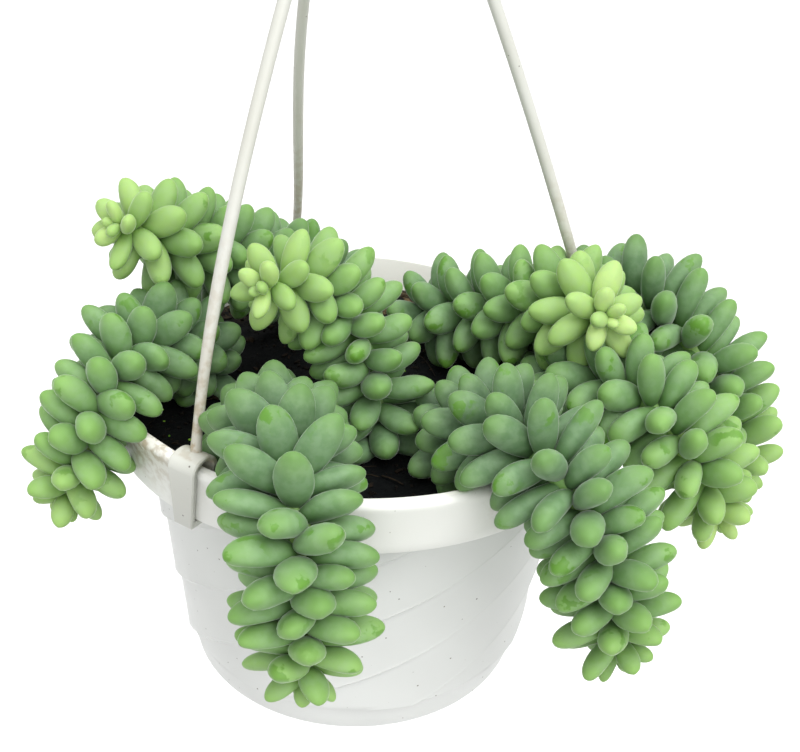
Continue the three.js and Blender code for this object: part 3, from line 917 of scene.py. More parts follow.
@dataclass
class Soil:
    """Potting soil with crumbs, bark chips, fibres and a little moss on its surface."""

    pot: Pot
    level: float = 81.0
    relief: float = 1.6
    shrinkage: float = 0.35
    gap: float = 0.3
    lower_rings: tuple[tuple[float, float], ...] = ((44.4, 2.9), (47.8, 10.0), (57.0, 76.0))
    rings: int = 46
    columns: int = 150
    crumbs: int = 1500
    chips: int = 130
    fibres: int = 80
    fibre_lengths: tuple[float, float] = (4.0, 13.0)
    fibre_radii: tuple[float, float] = (0.1, 0.22)
    moss: int = 60
    bare_edge: float = 1.5
    seed: int = 5

    def height(self, x: np.ndarray, y: np.ndarray) -> np.ndarray:
        """The surface's height at points, gently heaped."""
        waves = (
            np.sin(0.11 * x + 1.3) * np.cos(0.09 * y - 0.4)
            + 0.5 * np.sin(0.23 * x - 0.19 * y)
            + 0.5 * np.cos(0.17 * x + 0.21 * y + 0.8)
        )
        return self.level + self.relief * (waves / 2 + y / 60)

    def _lumps(self, x: np.ndarray, y: np.ndarray) -> np.ndarray:
        """Raises small lumps in the surface.

        Args:
            x: points across.
            y: points in depth.

        Returns:
            The height of the lumps at the points.
        """
        lumps = np.zeros_like(x)
        draws = np.random.default_rng(self.seed)
        for scale, size in ((0.45, 0.35), (0.9, 0.22), (1.9, 0.14)):
            for _ in range(5):
                turn, shift = draws.uniform(0, 2 * np.pi, 2)
                lumps += size * 0.5 * np.sin(scale * (x * np.cos(turn) + y * np.sin(turn)) + shift)
        return lumps

    def reach(self) -> float:
        """How far the surface spreads from the pot's axis."""
        lowest = self.level - 2 * self.relief
        return self.pot.collar_radius(lowest) - self.pot.collar_wall - self.gap - self.shrinkage

    def build(self) -> list[bpy.types.Object]:
        """Builds the soil and what lies on it, and dresses them.

        Returns:
            The bed of soil, then what lies on it.
        """
        angle = turned_round(self.columns)
        rows = [ring(radius, angle, height) for radius, height in self.lower_rings]
        for radius in np.linspace(self.reach(), 1.0, self.rings):
            x, y = radius * np.cos(angle), radius * np.sin(angle)
            rows.append(ring(radius, angle, self.height(x, y) + self._lumps(x, y)))
        body = capped(np.array(rows), len(rows), self.columns)
        bed = Earth("potting_soil", srgb(5, 7, 8), srgb(15, 17, 17)).material()
        pieces = [body.to_object("soil_bed", bed)]
        draws = np.random.default_rng(self.seed + 1)
        crumb = Earth("soil_crumb", srgb(9, 9, 9), srgb(34, 29, 23))
        bark = Earth("bark", srgb(18, 15, 12), srgb(50, 40, 30), grain=500.0)
        moss = Earth("moss", srgb(88, 140, 40), srgb(150, 196, 70), srgb(170, 210, 90), 1500.0)
        kinds = (
            ("soil_crumbs", self.crumbs, (0.5, 1.9), (0.8, 0.8), crumb),
            ("bark_chips", self.chips, (1.4, 4.2), (0.5, 0.35), bark),
            ("moss_specks", self.moss, (0.5, 1.1), (1.0, 0.5), moss),
        )
        for name, count, sizes, squash, finish in kinds:
            lumps = self._scattered(draws, count, sizes, squash)
            pieces.append(lumps.to_object(name, finish.material(), 50.0))
        fibre = Earth("coir_fibre", srgb(26, 22, 17), srgb(50, 42, 31), grain=700.0, relief=0.0001)
        pieces.append(self._fibres(draws).to_object("soil_fibres", fibre.material()))
        return pieces

    def _spot(self, draws: np.random.Generator) -> tuple[float, float, float]:
        """Draws a point on the surface.

        Args:
            draws: where the draws come from.

        Returns:
            The point.
        """
        radius = (self.reach() - self.bare_edge) * math.sqrt(draws.uniform())
        turn = draws.uniform(0, 2 * math.pi)
        x, y = radius * math.cos(turn), radius * math.sin(turn)
        place = np.array([x]), np.array([y])
        return x, y, float((self.height(*place) + self._lumps(*place))[0])

    def _scattered(
        self, draws: np.random.Generator, count: int, sizes: tuple[float, float], squash: tuple[float, float]
    ) -> Shell:
        """Strews rough lumps on the surface.

        Args:
            draws: where the draws come from.
            count: how many lumps.
            sizes: the least and greatest length.
            squash: the width and thickness as shares of the length.

        Returns:
            The lumps as one shell.
        """
        seedling = bmesh.new()
        bmesh.ops.create_icosphere(seedling, subdivisions=1, radius=0.5)
        ball = np.array([vertex.co for vertex in seedling.verts])
        faces = [tuple(vertex.index for vertex in face.verts) for face in seedling.faces]
        seedling.free()
        lumps = []
        for _ in range(count):
            size = sizes[0] + (sizes[1] - sizes[0]) * draws.uniform() ** 2
            rough = ball * draws.uniform(0.7, 1.2, (len(ball), 1))
            rough = rough * np.array([1.0, *squash]) * size
            turn = Matrix.Rotation(draws.uniform(0, 6.28), 3, "Z")
            turn = turn @ Matrix.Rotation(draws.normal(0, 0.35), 3, "X")
            place = np.array(self._spot(draws)) + [0, 0, 0.22 * size * squash[1]]
            lumps.append(Shell(rough @ np.array(turn).T + place, faces))
        return Shell.joined(lumps)

    def _fibres(self, draws: np.random.Generator) -> Shell:
        """Strews curled fibres on the surface.

        Args:
            draws: where the draws come from.

        Returns:
            The fibres as one shell.
        """
        fibres = []
        for _ in range(self.fibres):
            x, y, _ = self._spot(draws)
            turn, length = draws.uniform(0, 6.28), draws.uniform(*self.fibre_lengths)
            bend = draws.normal(0, 0.25, 2)
            points = []
            for share in (-0.5, -0.17, 0.17, 0.5):
                px = x + length * share * math.cos(turn) - length * bend[0] * share**2 * math.sin(turn)
                py = y + length * share * math.sin(turn) + length * bend[0] * share**2 * math.cos(turn)
                outside = max(1.0, math.hypot(px, py) / (self.reach() - 1))
                px, py = px / outside, py / outside
                lift = 0.25 + abs(bend[1]) * 2.2 * (0.25 - share**2) * 4
                points.append((px, py, float(self.height(np.array([px]), np.array([py]))[0]) + lift))
            thick = draws.uniform(*self.fibre_radii)
            fibres.append(Route(points).tube(thick, 8, 5))
        return Shell.joined(fibres)


# ---------------------------------------------------------------------- hanger


@dataclass
class Hanger:
    """The hanger: three arms in one moulding, from clips over the rim to a hub with an open hook."""

    pot: Pot
    clip_azimuths: tuple[float, ...] = (110.0, 235.0, 4.0)
    clip_width: float = 8.2
    clip_toe_width: float = 5.6
    clip_skews: tuple[float, ...] = (0.0, 3.0, 0.0)
    clip_thickness: float = 1.6
    arch_rise: float = 0.4
    arch_flatness: float = 0.8
    toe_radius: float = 63.6
    inner_leg: float = 6.5
    edge_ease: float = 0.35
    gap: float = 0.3
    arm_radius: float = 1.25
    arm_top_radius: float = 1.55
    arm_flatness: float = 0.92
    arm_flare: float = 0.3
    flare_share: float = 0.012
    thickening_share: float = 0.3
    brown_mark_reach: float = 62.0
    arm_points: tuple[tuple[float, float], ...] = ((66.4, 93.0), (57.0, 128.0), (41.0, 172.0), (4.5, 243.0))
    arm_bends: tuple[tuple[tuple[float, float], tuple[float, float]], ...] = (
        ((0.0, 4.0), (0.0, -14.0)),
        ((0.0, 3.0), (0.0, 2.0)),
        ((-3.5, 0.0), (-2.7, 0.0)),
    )
    hub_radius: float = 7.0
    hub_base: float = 238.0
    hub_height: float = 11.0
    hook_radius: float = 12.0
    hook_wire_radius: float = 2.3
    hook_centre: float = 276.0
    hook_turns: tuple[int, int, int] = (232, -31, -22)
    arm_grid: tuple[int, int] = (90, 20)
    hook_grid: tuple[int, int] = (110, 20)
    clear_reach: float = 90.0
    clearance: float = 0.15
    clip_ball: float = 1.2
    ball_steps: tuple[float, float] = (1.6, 1.8)

    HUB_FOOT = ((1.5, 0.0), (0.6, 0.2), (0.1, 0.9), (0.0, 1.8))
    HUB_SHOULDER = ((0.0, 3.4), (0.5, 2.2), (2.0, 1.0))
    HUB_NECK = ((1.1, -0.2), (0.5, 1.0), (0.25, 3.0), (-0.2, 3.2))

    def _clip_outline(self) -> list[tuple[float, float]]:
        """Draws the clip's section over the rim.

        Returns:
            The section as (radius, height) points.
        """
        lip, top, thick = self.pot.collar_underside, self.pot.height, self.clip_thickness

        def leg(height: float) -> float:
            """The leg's inner radius at a height."""
            return self.pot.collar_radius(height) + self.gap

        arch = top + self.arch_rise
        middle = self.pot.rim_radius - 2.4
        outer = leg(top) + thick - middle
        inner = outer - thick
        outline = [
            (self.toe_radius, lip - self.gap),
            (self.toe_radius + 0.3, lip - self.gap - thick),
            (leg(lip) + thick - 0.5, lip - self.gap - thick),
            (leg(lip) + thick, lip - self.gap - thick + 0.6),
        ]
        turns = np.radians(np.linspace(0, 180, 19))
        flat = self.arch_flatness
        outline += [(middle + outer * math.cos(t), arch + flat * outer * math.sin(t)) for t in turns]
        foot = arch - self.inner_leg
        outline += [(middle - outer, foot + 0.4), (middle - outer + 0.4, foot), (middle - inner, foot)]
        outline += [(middle + inner * math.cos(t), arch + flat * inner * math.sin(t)) for t in turns[::-1]]
        outline += [(leg(top), top), (leg(lip), lip), (leg(lip), lip - self.gap)]
        return outline

    def _clip(self, azimuth: float, skew: float) -> Shell:
        """Builds a clip, with its edges eased and its strap narrowed and skewed towards the toe.

        Args:
            azimuth: where it stands, in degrees.
            skew: how far its toe stands to one side.

        Returns:
            The clip.
        """
        section = np.array(self._clip_outline())
        ease, half = self.edge_ease, self.clip_width / 2
        out, side = spokes(azimuth)
        inward = self._inset(section, ease)
        drop = (self.pot.height - section[:, 1]) / (self.pot.height - self.pot.collar_underside)
        share = np.clip(drop, 0, 1)[:, None]
        width = 1 + (self.clip_toe_width / self.clip_width - 1) * share
        rings = []
        depths = (-half, -half + ease, half - ease, half)
        for depth, shape in zip(depths, (inward, section, section, inward)):
            sideways = (depth * width + skew * share) * side
            rings.append(shape[:, :1] * out + shape[:, 1:] * UP + sideways)
        clip = capped(np.array(rings), 4, len(section))
        # Brown dirt inside the arch over the rim.
        inside = np.hypot(clip.points[:, 0], clip.points[:, 1]) < self.pot.rim_radius
        level = np.clip(1 - np.abs(clip.points[:, 2] - self.pot.height - 2.0) / 3.0, 0, 1)
        clip.marks = {"dirt": 0.9 * level * inside}
        return clip

    @staticmethod
    def _inset(section: np.ndarray, depth: float) -> np.ndarray:
        """Draws a section in on its own outline.

        Args:
            section: the section.
            depth: how far it is drawn in.

        Returns:
            The smaller section.
        """
        along = unit(np.roll(section, -1, 0) - np.roll(section, 1, 0))
        return section + depth * np.stack([-along[:, 1], along[:, 0]], 1)

    def arm_line(self, index: int) -> list[Point]:
        """Bends an arm from its clip to the hub.

        Args:
            index: the arm's place among the clips.

        Returns:
            The points.
        """
        out, side = spokes(self.clip_azimuths[index])
        shifts = ((0.0, 0.0), *self.arm_bends[index], (0.0, 0.0))
        corners = [
            (radius + outward) * out + height * UP + clockwise * side
            for (radius, height), (outward, clockwise) in zip(self.arm_points, shifts)
        ]
        line = []
        for t in np.linspace(0, 1, 22):
            weights = ((1 - t) ** 3, 3 * t * (1 - t) ** 2, 3 * t * t * (1 - t), t**3)
            line.append(tuple(sum(w * c for w, c in zip(weights, corners))))
        return line

    def _arm(self, index: int) -> Shell:
        """Builds an arm, which thickens upwards from a short flare on its clip.

        Args:
            index: the arm's place among the clips.

        Returns:
            The arm.
        """
        low, high = self.arm_radius, self.arm_top_radius

        def radius(share: np.ndarray) -> np.ndarray:
            """The arm's radius by share of its length."""
            flare = self.arm_flare * np.exp(-share / self.flare_share)
            return low + (high - low) * smooth_step(0.0, self.thickening_share, share) + flare

        arm = Route(self.arm_line(index)).tube(radius, *self.arm_grid, self.arm_flatness)
        # Browner and darker towards the arm's lower end.
        low_part = np.clip(1 - (arm.points[:, 2] - self.pot.height - 3) / self.brown_mark_reach, 0, 1)
        arm.marks = {"dirt": low_part**1.3}
        return arm

    def _hub(self) -> Shell:
        """Builds the hub, with the neck of the hook.

        Returns:
            The hub.
        """
        top, wire = self.hub_base + self.hub_height, self.hook_wire_radius
        outline = [(self.hub_radius - eased, self.hub_base + up) for eased, up in self.HUB_FOOT]
        outline += [(self.hub_radius - eased, top - down) for eased, down in self.HUB_SHOULDER]
        outline += [(wire + wider, top + up) for wider, up in self.HUB_NECK]
        hub = lathe(outline, 48)
        hub.marks = {"dirt": np.zeros(len(hub.points))}
        return hub

    def _hook(self) -> Shell:
        """Builds the open hook: a shank, and most of a ring with a rounded end.

        Returns:
            The hook.
        """
        top = self.hub_base + self.hub_height
        points: list[Point] = [(0, 0, top - 2), (0, 0, top + 6)]
        for turn in np.radians(np.arange(*self.hook_turns)):
            across, up = self.hook_radius * math.cos(turn), self.hook_radius * math.sin(turn)
            points.append((across, 0, self.hook_centre + up))

        def radius(share: np.ndarray) -> np.ndarray:
            """The wire's radius, which rounds off at its free end."""
            left = np.clip((1 - share) / 0.022, 0, 1)
            return self.hook_wire_radius * np.sqrt(np.maximum(1 - (1 - left) ** 2, 0.004))

        hook = Route(points).tube(radius, *self.hook_grid)
        hook.marks = {"dirt": np.zeros(len(hook.points))}
        return hook

    def build(self) -> bpy.types.Object:
        """Builds the hanger in one piece and dresses it.

        Returns:
            The hanger.
        """
        shells = [self._hub(), self._hook()]
        for index, (azimuth, skew) in enumerate(zip(self.clip_azimuths, self.clip_skews)):
            shells.append(self._clip(azimuth, skew))
            shells.append(self._arm(index))
        finish = PotPlastic(
            "hanger_plastic", body=srgb(198, 199, 192), shade=srgb(190, 190, 181), speck_spacing=3.2
        )
        return Shell.joined(shells).to_object("hanger_moulding", finish.material(), 40.0)

    def keep_clear(self) -> np.ndarray:
        """Fills the arms and clips with balls that keep leaves off them.

        Returns:
            The balls as (x, y, z, radius).
        """
        balls = []
        arm_step, clip_step = self.ball_steps
        for index, azimuth in enumerate(self.clip_azimuths):
            line = Route(self.arm_line(index))
            for distance in np.arange(0, min(line.length, self.clear_reach), arm_step):
                balls.append((*line.at(distance), self.arm_radius + self.clearance))
            out, side = spokes(azimuth)
            for height in np.arange(self.pot.collar_underside - 1, self.pot.height + 5, clip_step):
                radius = self.pot.collar_radius(min(height, self.pot.height)) + 1.0
                for shift in np.linspace(-3.6, 3.6, 5):
                    balls.append((*(radius * out - shift * side + [0, 0, height]), self.clip_ball))
        return np.array(balls)


# --------------------------------------------------------------------- foliage


class Vigour(Enum):
    """How warm the young growth of a stem is, as millimetres that its ages are shifted by."""

    BRIGHT = 0.0
    FRESH = 5.0
    MILD = 10.0
    COOL = 16.0


@dataclass
class Stem:
    """One leafy stem: where it runs and how its leaves grow."""

    name: str
    seed: int
    leaf_scale: float
    vigour: Vigour
    path: tuple[Point, ...]
    leaf_width: float = 8.4
    leaf_thickness: float = 6.5
    core_radius: float = 2.7
    bare_foot: float = 10.5
    spacing: float = 0.96
    bluntness: float = 2.5


@dataclass
class Leaves:
    """Arrays that hold one entry for each leaf."""

    stem: np.ndarray
    root: np.ndarray
    along: np.ndarray
    aim: np.ndarray
    length: np.ndarray
    width: np.ndarray
    thickness: np.ndarray
    age: np.ndarray
    tone: np.ndarray
    curl: np.ndarray
    twist: np.ndarray

    def keep(self, wanted: np.ndarray) -> "Leaves":
        """Only the wanted leaves."""
        return Leaves(*(getattr(self, name)[wanted] for name in self.__dataclass_fields__))

    def faces(self) -> tuple[np.ndarray, np.ndarray]:
        """Finds which way each leaf lies.

        Returns:
            The directions across the width, and out of the upper face.
        """
        side = unit(np.cross(self.along, self.aim))
        face = np.cross(self.aim, side)
        cosine, sine = np.cos(self.twist)[:, None], np.sin(self.twist)[:, None]
        return side * cosine + face * sine, face * cosine - side * sine


@dataclass(frozen=True)
class LeafForm:
    """The form that all leaves share: plump, widest past the middle, with a soft keel on the upper face."""

    widest: float = 0.55
    foot_girth: float = 0.36
    foot_power: float = 0.85
    width_power: float = 0.55
    depth_power: float = 0.51
    deeper_end: float = 0.1
    upper_depth: float = 0.88
    lower_depth: float = 1.1
    keel_height: float = 0.18
    keel_spread: float = 0.42
    keel_span: tuple[float, float] = (0.35, 0.95)
    rise: float = 2.2
    sag: float = 0.6
    sides: int = 18
    section_shares: tuple[float, ...] = (
        0.0, 0.1, 0.2, 0.32, 0.44, 0.56, 0.67, 0.77, 0.855, 0.92, 0.965, 0.99,
    )

    def _outline(self, bluntness: float) -> tuple[np.ndarray, np.ndarray]:
        """Draws the outline from above and from the side.

        Args:
            bluntness: how round the end is.

        Returns:
            The width and the depth at the sections, as shares of the greatest.
        """
        share = np.array(self.section_shares)
        opened = np.sin(np.pi / 2 * np.clip(share / self.widest, 0, 1)) ** self.foot_power
        swell = self.foot_girth + (1 - self.foot_girth) * opened
        end = np.clip((share - self.widest) / (1 - self.widest), 0, 1)
        broad = (1 - end**bluntness) ** self.width_power
        plump = (1 - end ** (bluntness + self.deeper_end)) ** self.depth_power
        return np.where(share <= self.widest, swell, broad), np.where(share <= self.widest, swell, plump)

    def _sections(self) -> tuple[np.ndarray, np.ndarray]:
        """Draws the sections across the leaf, whose upper half carries the keel.

        Returns:
            The corners' places across, and their heights in each section.
        """
        angle = turned_round(self.sides)
        keel = np.exp(-(((angle - np.pi / 2 + np.pi) % (2 * np.pi) - np.pi) / self.keel_spread) ** 2)
        upper = np.sin(angle) * np.where(np.sin(angle) > 0, self.upper_depth, self.lower_depth)
        grown = smooth_step(*self.keel_span, np.array(self.section_shares))
        ridge = self.keel_height * grown[:, None] * keel[None, :]
        return np.cos(angle), upper[None, :] + ridge

    def _pattern(self) -> list[tuple[int, ...]]:
        """Lists one leaf's faces.

        Returns:
            The faces, as numbers of the leaf's points, of which the last is its tip.
        """
        rows = len(self.section_shares)
        last, tip = (rows - 1) * self.sides, rows * self.sides
        pattern = grid_faces(rows, self.sides)
        pattern += [(last + i, last + (i + 1) % self.sides, tip) for i in range(self.sides)]
        pattern.append(tuple(reversed(range(self.sides))))
        return pattern

    def shell(self, leaves: Leaves, bluntness: float) -> Shell:
        """Shapes the leaves of one stem.

        Args:
            leaves: the leaves.
            bluntness: how round their ends are.

        Returns:
            The leaves as one shell.
        """
        share = np.array(self.section_shares)
        broad, plump = self._outline(bluntness)
        across, upward = self._sections()
        side, face = leaves.faces()
        curve = share**2 * self.rise - self.sag * share
        bend = leaves.curl[:, None] * leaves.length[:, None] * curve[None, :]
        centre = (
            leaves.root[:, None]
            + leaves.aim[:, None] * (share[None, :] * leaves.length[:, None])[..., None]
            + face[:, None] * bend[..., None]
        )
        wide = 0.5 * leaves.width[:, None, None] * (broad[:, None] * across[None, :])[None]
        deep = 0.5 * leaves.thickness[:, None, None] * (plump[:, None] * upward)[None]
        rings = centre[:, :, None] + side[:, None, None] * wide[..., None]
        rings += face[:, None, None] * deep[..., None]
        end_bend = ((self.rise - self.sag) * leaves.curl * leaves.length)[:, None]
        tip = leaves.root + leaves.aim * leaves.length[:, None] + face * end_bend
        count, per_leaf = len(leaves.root), len(share) * self.sides + 1
        points = np.concatenate([rings.reshape(count, -1, 3), tip[:, None]], axis=1).reshape(-1, 3)
        pattern, starts = self._pattern(), range(0, count * per_leaf, per_leaf)
        faces = [tuple(corner + start for corner in corners) for start in starts for corners in pattern]
        place = np.concatenate([np.repeat(share, self.sides), [1.0]])
        marks = {
            "leaf_age": np.repeat(leaves.age, per_leaf),
            "leaf_tone": np.repeat(leaves.tone, per_leaf),
            "leaf_along": np.tile(place, count),
        }
        return Shell(points, faces, marks)


@dataclass
class Foliage:
    """All the leafy stems, whose leaves settle against each other, the pot and the hanger."""

    pot: Pot
    soil: Soil
    hanger: Hanger
    stems: tuple[Stem, ...]
    form: LeafForm = LeafForm()
    leaf_length: float = 17.4
    leaf_turn: float = 137.5
    first_leaf: float = 0.2
    tip_margin: float = 1.2
    spacing_reach: float = 12.0
    spacing_tip: float = 0.62
    young_length: float = 0.24
    growing_reach: float = 5.2
    girth_power: float = 0.75
    upward_pull: float = 0.1
    outward_pull: float = 0.5
    length_range: tuple[float, float] = (0.88, 1.06)
    width_range: tuple[float, float] = (0.92, 1.06)
    thickness_range: tuple[float, float] = (0.94, 1.06)
    turn_scatter: float = 3.5
    lean_scatter: float = 4.0
    twist_scatter: float = 14.0
    curl_scatter: tuple[float, float] = (0.035, 0.03)
    rounds: int = 70
    rounds_between_searches: int = 10
    fixed_push: float = 1.4
    pot_push: float = 1.6
    turn_rate: float = 0.3
    return_rate: float = 0.05
    most_pressed: float = 2.2
    most_blocked: float = 2.0
    ball_shares: tuple[float, ...] = (0.34, 0.56, 0.8)
    ball_sizes: tuple[float, ...] = (0.9, 1.0, 0.8)
    middle_share: float = 0.6
    touch_margin: float = 3.0
    inside_margin: float = 3.0
    inside_rise: float = 12.0
    crest_depth: float = 0.6
    crest_half_width: float = 1.0
    crest_clearance: float = 0.7
    sinking: float = 0.75
    core_step: float = 2.0
    core_grid: tuple[int, int] = (70, 12)

    LEAN_DISTANCES = (0, 1.5, 4, 8, 14, 30)
    LEAN_DEGREES = (8, 42, 72, 94, 100, 99)

    def _lean(self, distance: np.ndarray) -> np.ndarray:
        """How far leaves lean from the growing direction, in degrees, by distance from the tip."""
        return np.interp(distance, self.LEAN_DISTANCES, self.LEAN_DEGREES)

    def _growth(self, distance: np.ndarray) -> np.ndarray:
        """A leaf's size as a share of a full leaf's, by distance from the tip."""
        return 1 - (1 - self.young_length) * np.exp(-distance / self.growing_reach)

    def _bent_out(
        self, root: np.ndarray, along: np.ndarray, normal: np.ndarray
    ) -> tuple[np.ndarray, np.ndarray, np.ndarray]:
        """Tips the directions that leaves grow about away from the pot where a stem hangs.

        Args:
            root: the leaves' roots.
            along: the growing directions there.
            normal: directions across them.

        Returns:
            The tipped growing directions, and two directions across each.
        """
        hanging = smooth_step(0.1, 0.85, -along[:, 2])[:, None]
        outward = root * [1, 1, 0] / np.maximum(np.hypot(root[:, 0], root[:, 1]), 1.0)[:, None]
        bent = unit(along + self.outward_pull * hanging * outward)
        normal = unit(normal - bent * np.sum(normal * bent, axis=1, keepdims=True))
        return bent, normal, np.cross(bent, normal)

    def _sprout(self, number: int, stem: Stem) -> Leaves:
        """Grows one stem's leaves in a spiral from its tip.

        Args:
            number: the stem's place among the stems.
            stem: the stem.

        Returns:
            Its leaves.
        """
        draws = np.random.default_rng(stem.seed)
        route = Route(stem.path)
        distances = [self.first_leaf]
        while distances[-1] < route.length - stem.bare_foot:
            share = min(1.0, distances[-1] / self.spacing_reach)
            distances.append(distances[-1] + self.spacing_tip + (stem.spacing - self.spacing_tip) * share)
        distance = np.array(distances)
        count = len(distance)
        station = route.length - np.maximum(distance, self.tip_margin)
        root = route.at(station)
        along, normal, across = self._bent_out(root, *route.frame_at(station)[:2])
        turn = 360 * draws.uniform() + self.leaf_turn * np.arange(count)
        turn = np.radians(turn + draws.normal(0, self.turn_scatter, count))
        outward = normal * np.cos(turn)[:, None] + across * np.sin(turn)[:, None]
        lean = np.radians(self._lean(distance) + draws.normal(0, self.lean_scatter, count))
        aim = along * np.cos(lean)[:, None] + outward * np.sin(lean)[:, None]
        aim[:, 2] += self.upward_pull * smooth_step(4, 18, distance)
        grown = self._growth(distance)
        full = self.leaf_length * stem.leaf_scale
        length = full * grown * draws.uniform(*self.length_range, count)
        girth = grown**self.girth_power * draws.uniform(*self.width_range, count)
        return Leaves(
            stem=np.full(count, number),
            root=root,
            along=along,
            aim=unit(aim),
            length=length,
            width=stem.leaf_width * girth,
            thickness=stem.leaf_thickness * girth * draws.uniform(*self.thickness_range, count),
            age=(distance + stem.vigour.value) / 100,
            tone=draws.uniform(0, 1, count),
            curl=draws.normal(*self.curl_scatter, count),
            twist=np.radians(draws.normal(0, self.twist_scatter, count)),
        )

    def _balls(self, leaves: Leaves) -> tuple[np.ndarray, np.ndarray, np.ndarray]:
        """Balls that fill the leaves, two abreast.

        Args:
            leaves: the leaves.

        Returns:
            The centres (leaf, ball, axis), the radii (leaf, ball) and the balls' places along their leaves.
        """
        side, _ = leaves.faces()
        shares = np.repeat(self.ball_shares, 2)
        sizes = np.repeat(self.ball_sizes, 2)
        abreast = np.tile([-1.0, 1.0], len(self.ball_shares))
        radii = 0.5 * leaves.thickness[:, None] * sizes
        spread = np.maximum(0.5 * leaves.width[:, None] * sizes - radii, 0) * abreast
        centres = leaves.root[:, None] + leaves.aim[:, None] * (shares * leaves.length[:, None])[..., None]
        return centres + side[:, None] * spread[..., None], radii, shares

    def _fixed(self, routes: Sequence[Route]) -> tuple[np.ndarray, np.ndarray]:
        """Gathers the balls of the hanger and the bare stems, which stay where they are.

        Args:
            routes: the stems' lines.

        Returns:
            The balls, and the stem that each belongs to.
        """
        balls = [self.hanger.keep_clear()]
        owners = [np.full(len(balls[0]), -1)]
        for number, (stem, route) in enumerate(zip(self.stems, routes)):
            line = route.at(np.arange(0, route.length, self.core_step))
            balls.append(np.column_stack([line, np.full(len(line), stem.core_radius)]))
            owners.append(np.full(len(line), number))
        return np.vstack(balls), np.concatenate(owners)

    def _off_pot(self, centres: np.ndarray, radii: np.ndarray, inside: np.ndarray) -> np.ndarray:
        """Pushes that keep balls out of the pot's wall, off its rim and out of the soil.

        Args:
            centres: the balls' centres.
            radii: their radii.
            inside: whether each belongs to a leaf that grows inside the rim.

        Returns:
            A push for each ball.
        """
        flat = np.hypot(centres[:, 0], centres[:, 1])
        height = centres[:, 2]
        out = centres * [1, 1, 0] / np.maximum(flat, TINY)[:, None]
        wall = self.pot.outer_radius(height)
        below = (height < self.pot.height) & (height > 0)
        outer = np.where(below & ~inside, np.clip(wall + radii - flat, 0, None), 0)
        inner = np.where(below & inside, np.clip(flat + radii - (wall - self.pot.collar_wall), 0, None), 0)
        push = out * (outer - inner)[:, None]
        middle = self.pot.rim_radius - self.pot.collar_wall / 2
        nearest = np.clip(flat, middle - self.crest_half_width, middle + self.crest_half_width)
        crest = out * nearest[:, None]
        crest[:, 2] = self.pot.height - self.crest_depth
        away = centres - crest
        gap = np.linalg.norm(away, axis=1)
        lift = np.where(~below, np.clip(radii + self.crest_clearance - gap, 0, None), 0)
        push += away / np.maximum(gap, TINY)[:, None] * lift[:, None]
        ground = self.soil.height(centres[:, 0], centres[:, 1])
        buried = np.clip(ground + self.sinking * radii - height, 0, None)
        push[:, 2] += np.where(flat < self.soil.reach(), buried, 0)
        return push

    def _settle(self, leaves: Leaves) -> Leaves:
        """Turns leaves about their roots until they lie beside each other and off what they touch.

        Args:
            leaves: the leaves as they sprout.

        Returns:
            The settled leaves, without the few that find no room.
        """
        routes = [Route(stem.path) for stem in self.stems]
        fixed, owners = self._fixed(routes)
        wish = leaves.aim.copy()
        count, balls = len(leaves.root), 2 * len(self.ball_shares)
        owner = np.repeat(np.arange(count), balls)
        stem_of = leaves.stem[owner]
        within = np.hypot(leaves.root[:, 0], leaves.root[:, 1]) < self.pot.rim_radius - self.inside_margin
        inside = (within & (leaves.root[:, 2] < self.pot.height + self.inside_rise))[owner]
        pairs = (np.array([], int), np.array([], int))
        pressed = np.zeros(count)
        for turn_number in range(self.rounds):
            centres, radii, shares = self._balls(leaves)
            if turn_number % self.rounds_between_searches == 0:
                pairs = self._neighbours(leaves, balls)
            centres, radii = centres.reshape(-1, 3), radii.reshape(-1)
            push = self._apart(centres, radii, pairs)
            push += self.fixed_push * self._off_fixed(centres, radii, stem_of, fixed, owners)
            hard = self._off_pot(centres, radii, inside)
            push += self.pot_push * hard
            turn = np.zeros_like(leaves.aim)
            np.add.at(turn, owner, push * np.tile(shares, count)[:, None])
            turn /= leaves.length[:, None]
            turn -= leaves.aim * np.sum(turn * leaves.aim, axis=1, keepdims=True)
            leaves.aim = unit(leaves.aim + self.turn_rate * turn + self.return_rate * (wish - leaves.aim))
            pressed = np.zeros(count)
            np.maximum.at(pressed, owner, np.linalg.norm(hard, axis=1))
        centres, radii, _ = self._balls(leaves)
        stuck = self._off_fixed(centres.reshape(-1, 3), radii.reshape(-1), stem_of, fixed, owners)
        blocked = np.zeros(count)
        np.maximum.at(blocked, owner, np.linalg.norm(stuck, axis=1))
        return leaves.keep((pressed < self.most_pressed) & (blocked < self.most_blocked))

    def _neighbours(self, leaves: Leaves, balls: int) -> tuple[np.ndarray, np.ndarray]:
        """Pairs the balls whose leaves are near enough to touch.

        Args:
            leaves: the leaves.
            balls: how many balls fill a leaf.

        Returns:
            The first and the second ball of each pair.
        """
        middle = leaves.root + leaves.aim * (self.middle_share * leaves.length)[:, None]
        square = np.sum(middle**2, axis=1)
        spread = square[:, None] + square[None, :] - 2 * middle @ middle.T
        reach = 0.5 * leaves.length + self.touch_margin
        first, second = np.nonzero(np.triu(spread < (reach[:, None] + reach[None, :]) ** 2, 1))
        one, other = np.divmod(np.arange(balls * balls), balls)
        return (first[:, None] * balls + one).reshape(-1), (second[:, None] * balls + other).reshape(-1)

